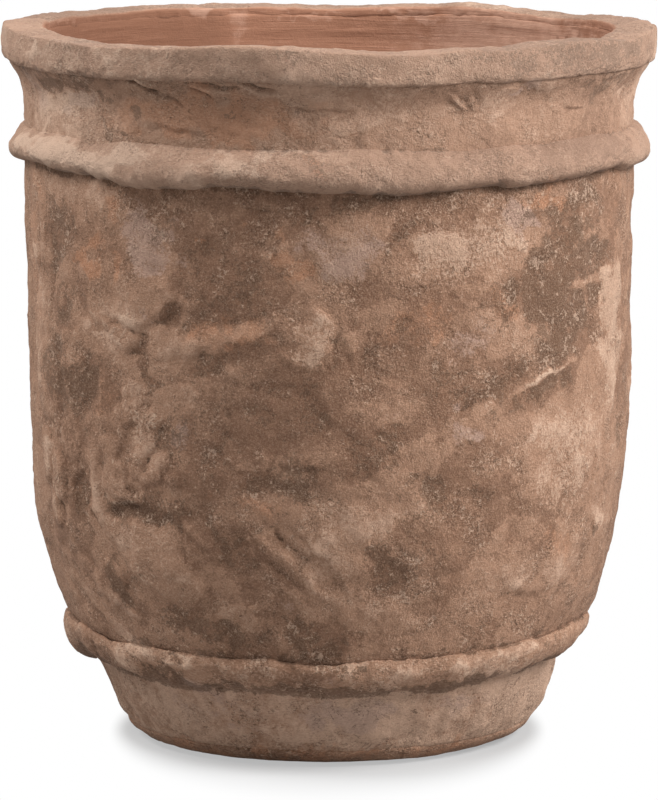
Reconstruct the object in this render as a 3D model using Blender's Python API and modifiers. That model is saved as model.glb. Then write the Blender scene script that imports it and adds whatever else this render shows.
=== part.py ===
"""A large hand-pressed terracotta planter with two applied bands and a heavy rolled rim.

A potter builds a pot of this size from separate members of clay and lutes them together with slip:
a floor slab, a flared foot wall that stands on it, a barrel wall, a neck wall and a rim strip, with
one band of clay laid over each joint of the wall and a coil worked into the corner of the floor.
Each member is its own object here, and the slip joint between two members is a thin even gap.
Units are metres, +Z is up, and the origin is the middle of the face that the planter stands on.
"""

import math

import bmesh
import bpy

# Heights, stacked from the ground up
LEDGE_HEIGHT = 0.017  # thickness of the floor slab's edge, which carries the foot wall
BOSS_RISE = 0.009  # how far the middle of the floor slab stands above that ledge
FOOT_HEIGHT = 0.0575  # bare foot wall, from the ledge to the lower band
LOWER_BAND_HEIGHT = 0.034
BARREL_HEIGHT = 0.421  # bare barrel wall, from band to band
BELLY_HEIGHT = 0.215  # height above the lower band at which the barrel turns upright
UPPER_BAND_HEIGHT = 0.036
NECK_HEIGHT = 0.058  # bare neck wall, from the upper band to the rim
COVE_HEIGHT = 0.031  # hollow curve at the top of the neck
RIM_HEIGHT = 0.031
LIP_HEIGHT = 0.010  # part of the rim's height that shows inside the mouth

# Radii of the outer surface
FOOT_TOP_RADIUS = 0.222
BARREL_FOOT_RADIUS = 0.2445
BELLY_RADIUS = 0.2795
BARREL_TOP_RADIUS = 0.2812
RIM_RADIUS = 0.300
FOOT_FLARE = 0.0325  # how much the foot wall widens from the heel up to the lower band
HEEL_TURN = 0.0445  # how far the heel turns in to the flat face that meets the ground
NECK_INSET = 0.020  # how far the neck stands in from the rim's face

# Sections
WALL = 0.019
LEDGE_WIDTH = 0.0125  # seat of the foot wall on the floor slab
FOOT_CROWN = 0.003  # how far the foot wall bows out from a straight cone
LOWER_BAND_REACH = 0.0085  # how far each band stands out from the wall
UPPER_BAND_REACH = 0.0125
LOWER_BAND_LEAN = 1.0  # 1 is a band fullest at mid height, and less leaves it fullest lower down
UPPER_BAND_LEAN = 0.75
BAND_FULLNESS = 0.78  # 1 is a slack curve, and less is a plumper band
BAND_EDGE = 0.0016  # thickness of a band where it is pressed down onto the wall
RIM_UNDERCUT = 0.0042  # step from the rim's face in to the top of the neck's cove
RIM_CORNER = 0.0055  # radius of the rim's two top corners
RIM_CHAMFER = 0.0020  # worn lower edge of the rim's face
LIP_OVERHANG = 0.0015  # how far the rim stands in over the neck's inner face
FLOOR_COIL_LEG = 0.022  # the coil's reach across the floor and up the wall
COIL_HOLLOW = 0.35  # how far the coil's face sinks towards the corner it fills
HEEL_TUCK = 0.0125  # how far the wall's slope, carried on down, comes in to the ground
DRAIN_RADIUS = 0.016
JOINT_RISE = 0.009  # how much higher a bevelled wall joint is inside than outside
SLIP = 0.0003  # thickness of every slip joint

# Fineness of the turned surfaces
SIDES = 72
WALL_STEPS = 13
BAND_STEPS = 7
FOOT_STEPS = 3
COVE_STEPS = 4
CORNER_STEPS = 3
HEEL_STEPS = 4

# Levels and radii that follow
FLOOR_TOP = LEDGE_HEIGHT + BOSS_RISE
COIL_TOP = FLOOR_TOP + FLOOR_COIL_LEG
LOWER_BAND_BOTTOM = LEDGE_HEIGHT + FOOT_HEIGHT
LOWER_BAND_TOP = LOWER_BAND_BOTTOM + LOWER_BAND_HEIGHT
UPPER_BAND_BOTTOM = LOWER_BAND_TOP + BARREL_HEIGHT
UPPER_BAND_TOP = UPPER_BAND_BOTTOM + UPPER_BAND_HEIGHT
RIM_BOTTOM = UPPER_BAND_TOP + NECK_HEIGHT
RIM_TOP = RIM_BOTTOM + RIM_HEIGHT
BELLY = LOWER_BAND_TOP + BELLY_HEIGHT
COVE_BOTTOM = RIM_BOTTOM - COVE_HEIGHT
LIP_BOTTOM = RIM_TOP - LIP_HEIGHT
LOWER_JOINT = LOWER_BAND_BOTTOM + LOWER_BAND_HEIGHT / 2  # foot to barrel, behind the lower band
UPPER_JOINT = UPPER_BAND_BOTTOM + UPPER_BAND_HEIGHT / 2  # barrel to neck, behind the upper band
HEEL_RADIUS = FOOT_TOP_RADIUS - FOOT_FLARE
STANDING_RADIUS = HEEL_RADIUS - HEEL_TURN
NECK_RADIUS = RIM_RADIUS - NECK_INSET
COVE_TOP_RADIUS = RIM_RADIUS - RIM_UNDERCUT
BORE_RADIUS = NECK_RADIUS - WALL  # inner face of the neck
BOSS_RADIUS = HEEL_RADIUS - LEDGE_WIDTH  # raised middle of the floor slab

# What the potter's hands left. Angles are in degrees round from +X, the front being at 270.
# Waves that go right round the wall: (cycles, swell in metres, angle of the first crest)
OUT_OF_ROUND = ((2, 0.0010, 50.0), (3, 0.0008, 15.0), (5, 0.0006, 9.0))
# Where an edge is pushed up or down: (angle, half width in degrees, lift in metres)
RIM_LIFTS = (
    (162.0, 16.0, 0.0012), (188.0, 30.0, 0.0034), (226.0, 14.0, -0.0016), (255.0, 16.0, 0.0032),
    (282.0, 16.0, -0.0036), (302.0, 10.0, -0.0030), (336.0, 13.0, -0.0034), (36.0, 18.0, -0.0038),
    (60.0, 14.0, 0.0014), (90.0, 16.0, -0.0026), (128.0, 13.0, 0.0012),
)
UPPER_BAND_TOP_LIFTS = ((205.0, 20.0, 0.0015), (300.0, 24.0, -0.0012), (85.0, 30.0, 0.0018))
UPPER_BAND_BOTTOM_LIFTS = (
    (190.0, 20.0, 0.0060), (221.0, 15.0, 0.0105), (250.0, 13.0, 0.0032), (283.0, 12.0, -0.0030),
    (330.0, 20.0, 0.0024), (60.0, 30.0, -0.0020), (120.0, 30.0, 0.0030),
)
LOWER_BAND_TOP_LIFTS = (
    (195.0, 32.0, 0.0060), (228.0, 12.0, 0.0020), (268.0, 14.0, -0.0030), (336.0, 36.0, 0.0062),
    (60.0, 30.0, -0.0020), (110.0, 30.0, 0.0025),
)
LOWER_BAND_BOTTOM_LIFTS = (
    (183.0, 22.0, -0.0018), (219.0, 14.0, 0.0044), (251.0, 12.0, 0.0022), (2.0, 26.0, 0.0006),
    (80.0, 30.0, 0.0020),
)
# Hollows and swells pressed into the wall: (angle, height, half width, half height, swell)
PRESS_MARKS = (
    (183.0, 0.350, 0.280, 0.280, -0.0008),
    (0.0, 0.380, 0.280, 0.300, -0.0014),
    (0.0, 0.095, 0.240, 0.060, -0.0034),
    (183.0, 0.045, 0.240, 0.055, -0.0014),
    (185.0, 0.200, 0.130, 0.070, 0.0030),
    (213.0, 0.385, 0.070, 0.070, 0.0034),
    (233.0, 0.330, 0.065, 0.060, -0.0022),
    (212.0, 0.225, 0.060, 0.080, 0.0036),
    (236.0, 0.185, 0.075, 0.050, 0.0030),
    (258.0, 0.290, 0.090, 0.090, -0.0026),
    (283.0, 0.200, 0.090, 0.070, 0.0024),
    (303.0, 0.380, 0.085, 0.100, -0.0022),
    (331.0, 0.260, 0.070, 0.090, 0.0026),
    (20.0, 0.330, 0.090, 0.110, 0.0028),
    (62.0, 0.220, 0.080, 0.080, -0.0026),
    (95.0, 0.400, 0.090, 0.080, 0.0026),
    (138.0, 0.260, 0.090, 0.110, -0.0024),
    (168.0, 0.400, 0.070, 0.080, 0.0026),
)


# Colour and roughness of the fired clay, member by member
CLAY = {
    "floor_slab": ((0.400, 0.235, 0.150), 0.94),
    "foot_wall": ((0.330, 0.215, 0.155), 0.92),
    "floor_coil": ((0.420, 0.215, 0.130), 0.94),
    "lower_band": ((0.350, 0.230, 0.165), 0.91),
    "barrel_wall": ((0.340, 0.220, 0.160), 0.92),
    "upper_band": ((0.380, 0.255, 0.185), 0.90),
    "neck_wall": ((0.360, 0.235, 0.165), 0.92),
    "rim": ((0.430, 0.290, 0.215), 0.90),
}


def terracotta(name):
    """The plain fired-clay material of one member."""
    colour, roughness = CLAY[name]
    material = bpy.data.materials.new(name + "_clay")
    material.use_nodes = True
    shader = material.node_tree.nodes["Principled BSDF"]
    shader.inputs["Base Color"].default_value = (*colour, 1.0)
    shader.inputs["Roughness"].default_value = roughness
    shader.inputs["Metallic"].default_value = 0.0
    material.diffuse_color = (*colour, 1.0)
    return material


def between(low, high, share):
    """The value a given share of the way from low to high."""
    return low + (high - low) * share


def steps(low, high, count):
    """Evenly spaced values from low to high, both ends included."""
    return [between(low, high, step / count) for step in range(count + 1)]


def wall_radius(height):
    """Outer radius of the bare wall, without its bands, at any height above the ledge."""
    if height <= LOWER_BAND_BOTTOM:
        share = (height - LEDGE_HEIGHT) / FOOT_HEIGHT
        return between(HEEL_RADIUS, FOOT_TOP_RADIUS, share) + FOOT_CROWN * 4 * share * (1 - share)
    if height <= LOWER_BAND_TOP:
        share = (height - LOWER_BAND_BOTTOM) / LOWER_BAND_HEIGHT
        return between(FOOT_TOP_RADIUS, BARREL_FOOT_RADIUS, share)
    if height <= BELLY:
        share = (height - LOWER_BAND_TOP) / BELLY_HEIGHT
        return between(BELLY_RADIUS, BARREL_FOOT_RADIUS, (1 - share) ** 2)
    if height <= UPPER_BAND_BOTTOM:
        share = (height - BELLY) / (UPPER_BAND_BOTTOM - BELLY)
        return between(BELLY_RADIUS, BARREL_TOP_RADIUS, share)
    if height <= UPPER_BAND_TOP:
        share = (height - UPPER_BAND_BOTTOM) / UPPER_BAND_HEIGHT
        return between(BARREL_TOP_RADIUS, NECK_RADIUS, share)
    share = max(0.0, (height - COVE_BOTTOM) / COVE_HEIGHT)
    return between(NECK_RADIUS, COVE_TOP_RADIUS, share**2)


def inner_radius(height):
    """Radius of the wall's inner face, which doesn't follow the cove."""
    return BORE_RADIUS if height > UPPER_BAND_TOP else wall_radius(height) - WALL


def bump(distance):
    """A smooth hill of height 1 at distance 0 that ends at distance 1."""
    return 0.5 + 0.5 * math.cos(math.pi * min(1.0, abs(distance)))


def turn_between(angle, other):
    """The shorter way round from one angle to another, in degrees."""
    return (angle - other + 180.0) % 360.0 - 180.0


def lift(lifts, angle):
    """How far hands have pushed an edge up at this angle."""
    return sum(rise * bump(turn_between(angle, centre) / width) for centre, width, rise in lifts)


def curve(start, guide, end, count):
    """Points of a smooth curve that leaves the start and reaches the end in line with the guide."""
    points = []
    for share in steps(0.0, 1.0, count):
        first, last = (1 - share) ** 2, share**2
        middle = 1 - first - last
        points.append(tuple(first * a + middle * b + last * c for a, b, c in zip(start, guide, end)))
    return points


def near(height, level, reach):
    """How much a level's own lift carries to another height: 1 on the level, 0 a reach away."""
    return max(0.0, 1.0 - abs(height - level) / reach)


def hand_shaped(point):
    """Moves a point of the true turned form to where the finished, slightly uneven pot has it."""
    radius = math.hypot(point.x, point.y)
    angle = math.degrees(math.atan2(point.y, point.x)) % 360.0
    height = point.z
    rise = lift(RIM_LIFTS, angle) * max(0.0, (height - UPPER_BAND_TOP) / (RIM_TOP - UPPER_BAND_TOP)) ** 2
    for level, reach, lifts in (
        (LOWER_BAND_BOTTOM, LOWER_BAND_HEIGHT, LOWER_BAND_BOTTOM_LIFTS),
        (LOWER_BAND_TOP, LOWER_BAND_HEIGHT, LOWER_BAND_TOP_LIFTS),
        (UPPER_BAND_BOTTOM, UPPER_BAND_HEIGHT, UPPER_BAND_BOTTOM_LIFTS),
        (UPPER_BAND_TOP, UPPER_BAND_HEIGHT, UPPER_BAND_TOP_LIFTS),
    ):
        rise += lift(lifts, angle) * near(height, level, reach)
    swell = sum(
        size * math.cos(math.radians(cycles * (angle - crest))) for cycles, size, crest in OUT_OF_ROUND
    )
    for centre, level, half_width, half_height, size in PRESS_MARKS:
        across = math.radians(turn_between(angle, centre)) * BELLY_RADIUS / half_width
        swell += size * bump(across) * bump((height - level) / half_height)
    scale = (radius + swell * min(1.0, radius / STANDING_RADIUS) ** 2) / radius
    return (point.x * scale, point.y * scale, height + rise)


def split_alike(shape):
    """Splits every four-sided face along the diagonal that climbs anticlockwise.

    Facing surfaces of two members are then split alike, so an uneven joint keeps its even gap.
    """
    for face in list(shape.faces):
        if len(face.verts) != 4:
            continue
        middle = face.calc_center_median()
        middle_angle = math.atan2(middle.y, middle.x)
        corners = []
        for vertex in face.verts:
            ahead = math.atan2(vertex.co.y, vertex.co.x) - middle_angle
            ahead = (ahead + math.pi) % math.tau - math.pi
            radius = math.hypot(vertex.co.x, vertex.co.y)
            corners.append((ahead > 0, round(vertex.co.z, 7), round(radius, 7), vertex.index, vertex))
        behind = sorted(corner for corner in corners if not corner[0])
        forward = sorted(corner for corner in corners if corner[0])
        bmesh.utils.face_split(face, behind[0][-1], forward[-1][-1])


def turned(name, outline):
    """A closed outline of (radius, height) points turned once round the Z axis, then hand-shaped.

    The outline runs down its outer side and back up its inner side.
    """
    profile = bpy.data.meshes.new(name + "_outline")
    count = len(outline)
    points = [(radius, 0.0, height) for radius, height in outline]
    edges = [(index, (index + 1) % count) for index in range(count)]
    profile.from_pydata(points, edges, [])
    blank = bpy.data.objects.new(name + "_outline", profile)
    clay.objects.link(blank)
    screw = blank.modifiers.new("turn", "SCREW")
    screw.axis = "Z"
    screw.angle = math.tau
    screw.steps = screw.render_steps = SIDES
    screw.use_merge_vertices = True
    screw.merge_threshold = 0.0001
    bpy.context.view_layer.update()
    graph = bpy.context.evaluated_depsgraph_get()
    mesh = bpy.data.meshes.new_from_object(blank.evaluated_get(graph))
    bpy.data.objects.remove(blank)
    bpy.data.meshes.remove(profile)
    shape = bmesh.new()
    shape.from_mesh(mesh)
    bmesh.ops.remove_doubles(shape, verts=shape.verts, dist=0.00001)
    split_alike(shape)
    for vertex in shape.verts:
        vertex.co = hand_shaped(vertex.co)
    shape.to_mesh(mesh)
    shape.free()
    mesh.name = name
    mesh.materials.clear()
    mesh.materials.append(terracotta(name))
    mesh.shade_smooth()
    mesh.set_sharp_from_angle(angle=math.radians(40))
    member = bpy.data.objects.new(name, mesh)
    clay.objects.link(member)
    return member


def outer_face(top, bottom, count):
    """Points down the wall's outer face."""
    return [(wall_radius(height), height) for height in steps(top, bottom, count)]


def inner_face(levels):
    """Points up the wall's inner face at the given heights."""
    return [(inner_radius(height), height) for height in levels]


def joint_inside(joint):
    """Height at which a bevelled wall joint comes out on the inner face."""
    return joint + JOINT_RISE


def floor_slab():
    """Round slab with a rounded heel, a ledge for the foot wall and a drain hole in the middle."""
    heel_guide = (HEEL_RADIUS - HEEL_TUCK, 0.0)
    outline = [
        (DRAIN_RADIUS, FLOOR_TOP),
        (BOSS_RADIUS - SLIP, FLOOR_TOP),
        (BOSS_RADIUS - SLIP, LEDGE_HEIGHT),
        *curve((HEEL_RADIUS, LEDGE_HEIGHT), heel_guide, (STANDING_RADIUS, 0.0), HEEL_STEPS),
        (DRAIN_RADIUS, 0.0),
    ]
    return turned("floor_slab", outline)


def foot_wall():
    """Cone that stands on the floor slab's ledge and ends in a bevel behind the lower band."""
    foot = LEDGE_HEIGHT + SLIP
    outline = [
        (wall_radius(LOWER_JOINT), LOWER_JOINT),
        *outer_face(LOWER_BAND_BOTTOM, foot, FOOT_STEPS),
        (BOSS_RADIUS, foot),
        (BOSS_RADIUS, FLOOR_TOP),
        *inner_face([COIL_TOP, LOWER_BAND_BOTTOM, joint_inside(LOWER_JOINT)]),
    ]
    return turned("foot_wall", outline)


def floor_coil():
    """Coil of clay worked into the corner between floor and wall, with a hollow face."""
    corner = (BOSS_RADIUS - 2 * SLIP, FLOOR_TOP + SLIP)
    toe = (BOSS_RADIUS - FLOOR_COIL_LEG, FLOOR_TOP + SLIP)
    head = (inner_radius(COIL_TOP) - SLIP, COIL_TOP)
    guide = tuple(
        between((low + high) / 2, into, COIL_HOLLOW) for low, high, into in zip(toe, head, corner)
    )
    outline = [corner, *curve(toe, guide, head, COVE_STEPS)]
    return turned("floor_coil", outline)


def band(name, bottom, height, reach, lean, joint):
    """Applied band: a flattened roll of clay that covers a joint of the wall."""
    outline = []
    for share in steps(1.0, 0.0, BAND_STEPS):
        level = bottom + height * share
        fullness = abs(math.sin(math.pi * share**lean)) ** BAND_FULLNESS
        outline.append((wall_radius(level) + SLIP + between(BAND_EDGE, reach, fullness), level))
    outline += [(wall_radius(level) + SLIP, level) for level in (bottom, joint, bottom + height)]
    return turned(name, outline)


def barrel_wall():
    """The tall wall between the bands, bevelled top and bottom behind them."""
    foot = LOWER_JOINT + SLIP
    outline = [
        (wall_radius(UPPER_JOINT), UPPER_JOINT),
        *outer_face(UPPER_BAND_BOTTOM, LOWER_BAND_TOP, WALL_STEPS),
        (wall_radius(foot), foot),
        *inner_face([joint_inside(foot), *steps(LOWER_BAND_TOP, UPPER_BAND_BOTTOM, WALL_STEPS)]),
        *inner_face([joint_inside(UPPER_JOINT)]),
    ]
    return turned("barrel_wall", outline)


def neck_wall():
    """Upright neck that hollows out under the rim and carries it on a bevel."""
    outline = [
        *outer_face(RIM_BOTTOM, COVE_BOTTOM, COVE_STEPS),
        *outer_face(UPPER_BAND_TOP, UPPER_JOINT + SLIP, 1),
        *inner_face([joint_inside(UPPER_JOINT + SLIP), UPPER_BAND_TOP, RIM_BOTTOM, LIP_BOTTOM]),
    ]
    return turned("neck_wall", outline)


def rounded_corner(radius, height, corner, outward):
    """Points round a top corner of the rim, from its side to its top, or back on the outer side."""
    points = []
    for share in steps(0.0, 1.0, CORNER_STEPS):
        turn = share * math.pi / 2
        points.append(
            (radius - outward * corner * (1 - math.cos(turn)), height - corner * (1 - math.sin(turn)))
        )
    return points if outward < 0 else points[::-1]


def rim():
    """Heavy strip laid on the neck's bevel, with a flat face, round corners and a small inner lip."""
    inside = BORE_RADIUS - LIP_OVERHANG
    outline = [
        *rounded_corner(RIM_RADIUS, RIM_TOP, RIM_CORNER, 1),
        (RIM_RADIUS, RIM_BOTTOM + SLIP + RIM_CHAMFER),
        (RIM_RADIUS - RIM_CHAMFER, RIM_BOTTOM + SLIP),
        (COVE_TOP_RADIUS, RIM_BOTTOM + SLIP),
        (BORE_RADIUS, LIP_BOTTOM + SLIP),
        (inside, LIP_BOTTOM + SLIP),
        *rounded_corner(inside, RIM_TOP, RIM_CORNER, -1),
    ]
    return turned("rim", outline)


for leftover in list(bpy.data.objects):
    bpy.data.objects.remove(leftover)

clay = bpy.data.collections.new("planter")
bpy.context.scene.collection.children.link(clay)

floor_slab()
foot_wall()
floor_coil()
band("lower_band", LOWER_BAND_BOTTOM, LOWER_BAND_HEIGHT, LOWER_BAND_REACH, LOWER_BAND_LEAN, LOWER_JOINT)
barrel_wall()
band("upper_band", UPPER_BAND_BOTTOM, UPPER_BAND_HEIGHT, UPPER_BAND_REACH, UPPER_BAND_LEAN, UPPER_JOINT)
neck_wall()
rim()
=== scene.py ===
"""The looks of a large hand-pressed terracotta planter.

Every member of the pot is drawn up ring by ring from a circle, smoothed, and then pressed, creased,
dented and stained where hands, tools and years outdoors have left their marks. Units are metres,
+Z is up, the origin is the middle of the face that the planter stands on, and angles are degrees
round from +X, the side towards the camera being at 270. Only the tables of marks have their heights
and sizes in millimetres.
"""

import math
from functools import cached_property

import bpy
import numpy as np
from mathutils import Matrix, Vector


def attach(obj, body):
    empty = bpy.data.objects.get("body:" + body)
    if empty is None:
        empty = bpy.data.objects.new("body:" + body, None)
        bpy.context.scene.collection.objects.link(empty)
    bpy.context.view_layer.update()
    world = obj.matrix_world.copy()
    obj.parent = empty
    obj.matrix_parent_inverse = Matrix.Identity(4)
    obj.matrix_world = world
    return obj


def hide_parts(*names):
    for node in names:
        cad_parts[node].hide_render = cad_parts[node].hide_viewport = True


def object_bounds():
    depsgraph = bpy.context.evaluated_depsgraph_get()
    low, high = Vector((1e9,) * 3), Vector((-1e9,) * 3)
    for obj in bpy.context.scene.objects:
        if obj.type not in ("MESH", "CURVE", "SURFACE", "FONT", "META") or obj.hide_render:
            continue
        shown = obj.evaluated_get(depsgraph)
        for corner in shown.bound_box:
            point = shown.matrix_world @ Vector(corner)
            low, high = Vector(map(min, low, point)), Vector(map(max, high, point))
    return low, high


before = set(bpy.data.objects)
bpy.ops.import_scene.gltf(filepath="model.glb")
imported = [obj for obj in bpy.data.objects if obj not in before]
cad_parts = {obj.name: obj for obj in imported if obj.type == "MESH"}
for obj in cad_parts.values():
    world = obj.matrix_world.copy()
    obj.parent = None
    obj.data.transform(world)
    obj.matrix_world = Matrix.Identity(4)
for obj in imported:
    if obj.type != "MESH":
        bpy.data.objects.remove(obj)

cad_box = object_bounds()

MILLI = 1000.0  # millimetres in a metre

# Heights of the wall, as the frame has them
LEDGE_HEIGHT = 0.017
FLOOR_TOP = 0.026
COIL_TOP = 0.048
LOWER_BAND_BOTTOM = 0.0745
LOWER_BAND_TOP = 0.1085
BELLY = 0.3235
UPPER_BAND_BOTTOM = 0.5295
UPPER_BAND_TOP = 0.5655
COVE_BOTTOM = 0.5925
RIM_BOTTOM = 0.6235
LIP_BOTTOM = 0.6445
RIM_TOP = 0.6545
LOWER_JOINT = 0.0915
UPPER_JOINT = 0.5475
JOINT_RISE = 0.009

# Radii of the wall, as the frame has them
DRAIN_RADIUS = 0.016
STANDING_RADIUS = 0.145
BOSS_RADIUS = 0.177
HEEL_RADIUS = 0.1895
FOOT_TOP_RADIUS = 0.222
BARREL_FOOT_RADIUS = 0.2445
BELLY_RADIUS = 0.2795
BARREL_TOP_RADIUS = 0.2812
NECK_RADIUS = 0.280
COVE_TOP_RADIUS = 0.2958
BORE_RADIUS = 0.261
LIP_RADIUS = 0.2595
RIM_RADIUS = 0.300
FOOT_CROWN = 0.003
WALL = 0.019
LOWER_BAND_REACH = 0.0085
UPPER_BAND_REACH = 0.0125
BAND_SINK = 0.0065  # how deep a band's back lies in the wall
RIM_TURN = 0.002  # how far below its top the rim's face turns over

# Bands in section, from top to bottom: (share of the height, share of the reach)
ROLLED = (
    (1.05, -0.42), (1.0, -0.04), (0.95, 0.16), (0.87, 0.46), (0.74, 0.86), (0.56, 1.12), (0.36, 1.20),
    (0.19, 1.10), (0.07, 0.80), (0.01, 0.40), (-0.02, -0.06), (-0.07, -0.42),
)
SLOPED = (
    (1.06, -0.32), (1.0, 0.02), (0.95, 0.24), (0.86, 0.52), (0.72, 0.82), (0.55, 1.02), (0.36, 1.10),
    (0.20, 1.00), (0.08, 0.70), (0.01, 0.22), (-0.06, -0.30),
)


def metres(rows, places=(1, 2, 3)):
    """The same rows, with their values at these places turned from millimetres into metres."""
    return tuple(
        tuple(value / MILLI if place in places else value for place, value in enumerate(row))
        for row in rows)


def strokes(rows):
    """The same creases, with depth, half width and heights turned from millimetres into metres."""
    return tuple((depth / MILLI, width / MILLI, metres(points, (1,))) for depth, width, points in rows)


# Unevenness of the frame's members, which the looks follow. Waves that go right round the wall are
# (cycles, swell in metres, angle of the first crest).
OUT_OF_ROUND = ((2, 0.0010, 50.0), (3, 0.0008, 15.0), (5, 0.0006, 9.0))
# Where an edge is pushed up or down: (angle, half width in degrees, lift)
RIM_LIFTS = metres((
    (162, 16, 1.2), (188, 30, 3.4), (226, 14, -1.6), (255, 16, 3.2), (282, 16, -3.6), (302, 10, -3),
    (336, 13, -3.4), (36, 18, -3.8), (60, 14, 1.4), (90, 16, -2.6), (128, 13, 1.2),
), (2,))
UPPER_BAND_TOP_LIFTS = metres(((205, 20, 1.5), (300, 24, -1.2), (85, 30, 1.8)), (2,))
UPPER_BAND_BOTTOM_LIFTS = metres((
    (186, 14, 3.2), (203, 22, 8.5), (222, 12, 4.6), (236, 14, -2.2), (250, 13, 3.2), (283, 12, -3),
    (330, 20, 2.4), (60, 30, -2), (120, 30, 3),
), (2,))
LOWER_BAND_TOP_LIFTS = metres((
    (195, 32, 6), (228, 12, 2), (268, 14, -3), (336, 36, 6.2), (60, 30, -2), (110, 30, 2.5),
), (2,))
LOWER_BAND_BOTTOM_LIFTS = metres((
    (183, 22, -1.8), (201, 15, 4.5), (219, 14, 3.6), (251, 12, 2.2), (330, 40, 7.8), (352, 20, 6.6),
    (80, 30, 2),
), (2,))
# Broad hollows and swells of the wall: (angle, height, half width, half height, swell)
PRESS_MARKS = metres((
    (183, 350, 280, 280, -0.8), (0, 380, 280, 300, -1.4), (0, 95, 240, 60, -3.4),
    (183, 45, 240, 55, -1.4), (185, 200, 130, 70, 3), (213, 385, 70, 70, 3.4), (233, 330, 65, 60, -2.2),
    (212, 225, 60, 80, 3.6), (236, 185, 75, 50, 3), (258, 290, 90, 90, -2.6), (283, 200, 90, 70, 2.4),
    (303, 380, 85, 100, -2.2), (331, 260, 70, 90, 2.6), (20, 330, 90, 110, 2.8), (62, 220, 80, 80, -2.6),
    (95, 400, 90, 80, 2.6), (138, 260, 90, 110, -2.4), (168, 400, 70, 80, 2.6),
), (1, 2, 3, 4))
# Dents where hands have pushed the foot wall in: (angle, half width in degrees, depth)
FOOT_DENTS = metres(((186, 32, 5.5), (352, 36, 6.5)), (2,))
FOOT_DENT_HEIGHT = 0.064
FOOT_DENT_REACH = 0.040

# Pats of clay pressed onto the wall: (angle, height, half width, half height, turn, rise)
PATS = metres((
    (231, 428, 50, 26, 8, 3), (222, 442, 18, 20, -20, 1.8), (230, 397, 19, 13, -20, 1.7),
    (239, 391, 20, 14, 18, 1.3), (248.5, 395, 40, 10, 17, 0.8), (259, 408, 28, 11, 14, 0.7),
    (266, 404, 24, 30, 0, 1.6), (209.5, 259, 12, 24, 0, 4.4), (203, 276, 12, 26, 0, 2.6),
    (214.5, 300, 16, 26, 8, 2.2), (206, 226, 12, 16, 0, 2.2), (227, 262, 14, 20, 0, 2.6),
    (230, 250, 18, 8, -8, 2.4), (235.5, 314, 13, 20, 0, 2.4), (233.5, 292, 10, 8, 30, 1.8),
    (238, 285, 9, 8, -20, 1.6), (235.5, 271, 12, 8, 10, 2), (240.5, 268, 9, 7, 0, 1.6),
    (231.5, 276, 8, 7, 0, 1.4), (233, 206, 44, 26, -18, 2.1), (238, 180, 44, 22, -24, 2.4),
    (221, 168, 24, 26, -30, 1.8), (337, 392, 36, 64, -6, 2.2), (326, 490, 20, 18, 20, 1.6),
    (300, 300, 60, 34, 24, 2), (284, 395, 34, 20, 24, 1.8), (276, 345, 40, 28, -8, 1.8),
    (318, 190, 60, 34, 6, 1.8), (290, 225, 50, 36, -14, 2), (232, 330, 14, 10, 20, 1.8),
    (228.5, 318, 12, 14, -10, 1.6), (226, 290, 12, 16, 0, 1.8), (232, 345, 16, 12, -30, 1.8),
    (224.5, 424, 20, 14, 10, 1.6), (229.5, 440, 18, 12, -24, 1.4), (205, 345, 30, 36, 0, 2.4),
    (200, 480, 24, 34, 0, 2), (216, 362, 18, 40, 6, 2.2),
), (1, 2, 3, 5))
# Hollows left by a thumb or the heel of a hand, in the same terms
HOLLOWS = metres((
    (241.5, 416, 10, 17, -12, -0.9), (232, 236, 38, 9, -2, -2.1), (216.5, 250, 12, 18, 0, -4),
    (219, 350, 20, 30, 0, -2), (250, 377, 40, 11, 14, -1), (284, 413, 11, 8, 0, -1.8),
    (302, 352, 50, 14, 18, -1.6), (244, 462, 40, 30, 0, -1.6), (266, 205, 12, 50, 42, -1.8),
    (209, 224, 10, 10, 0, -2.4),
), (1, 2, 3, 5))
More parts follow.
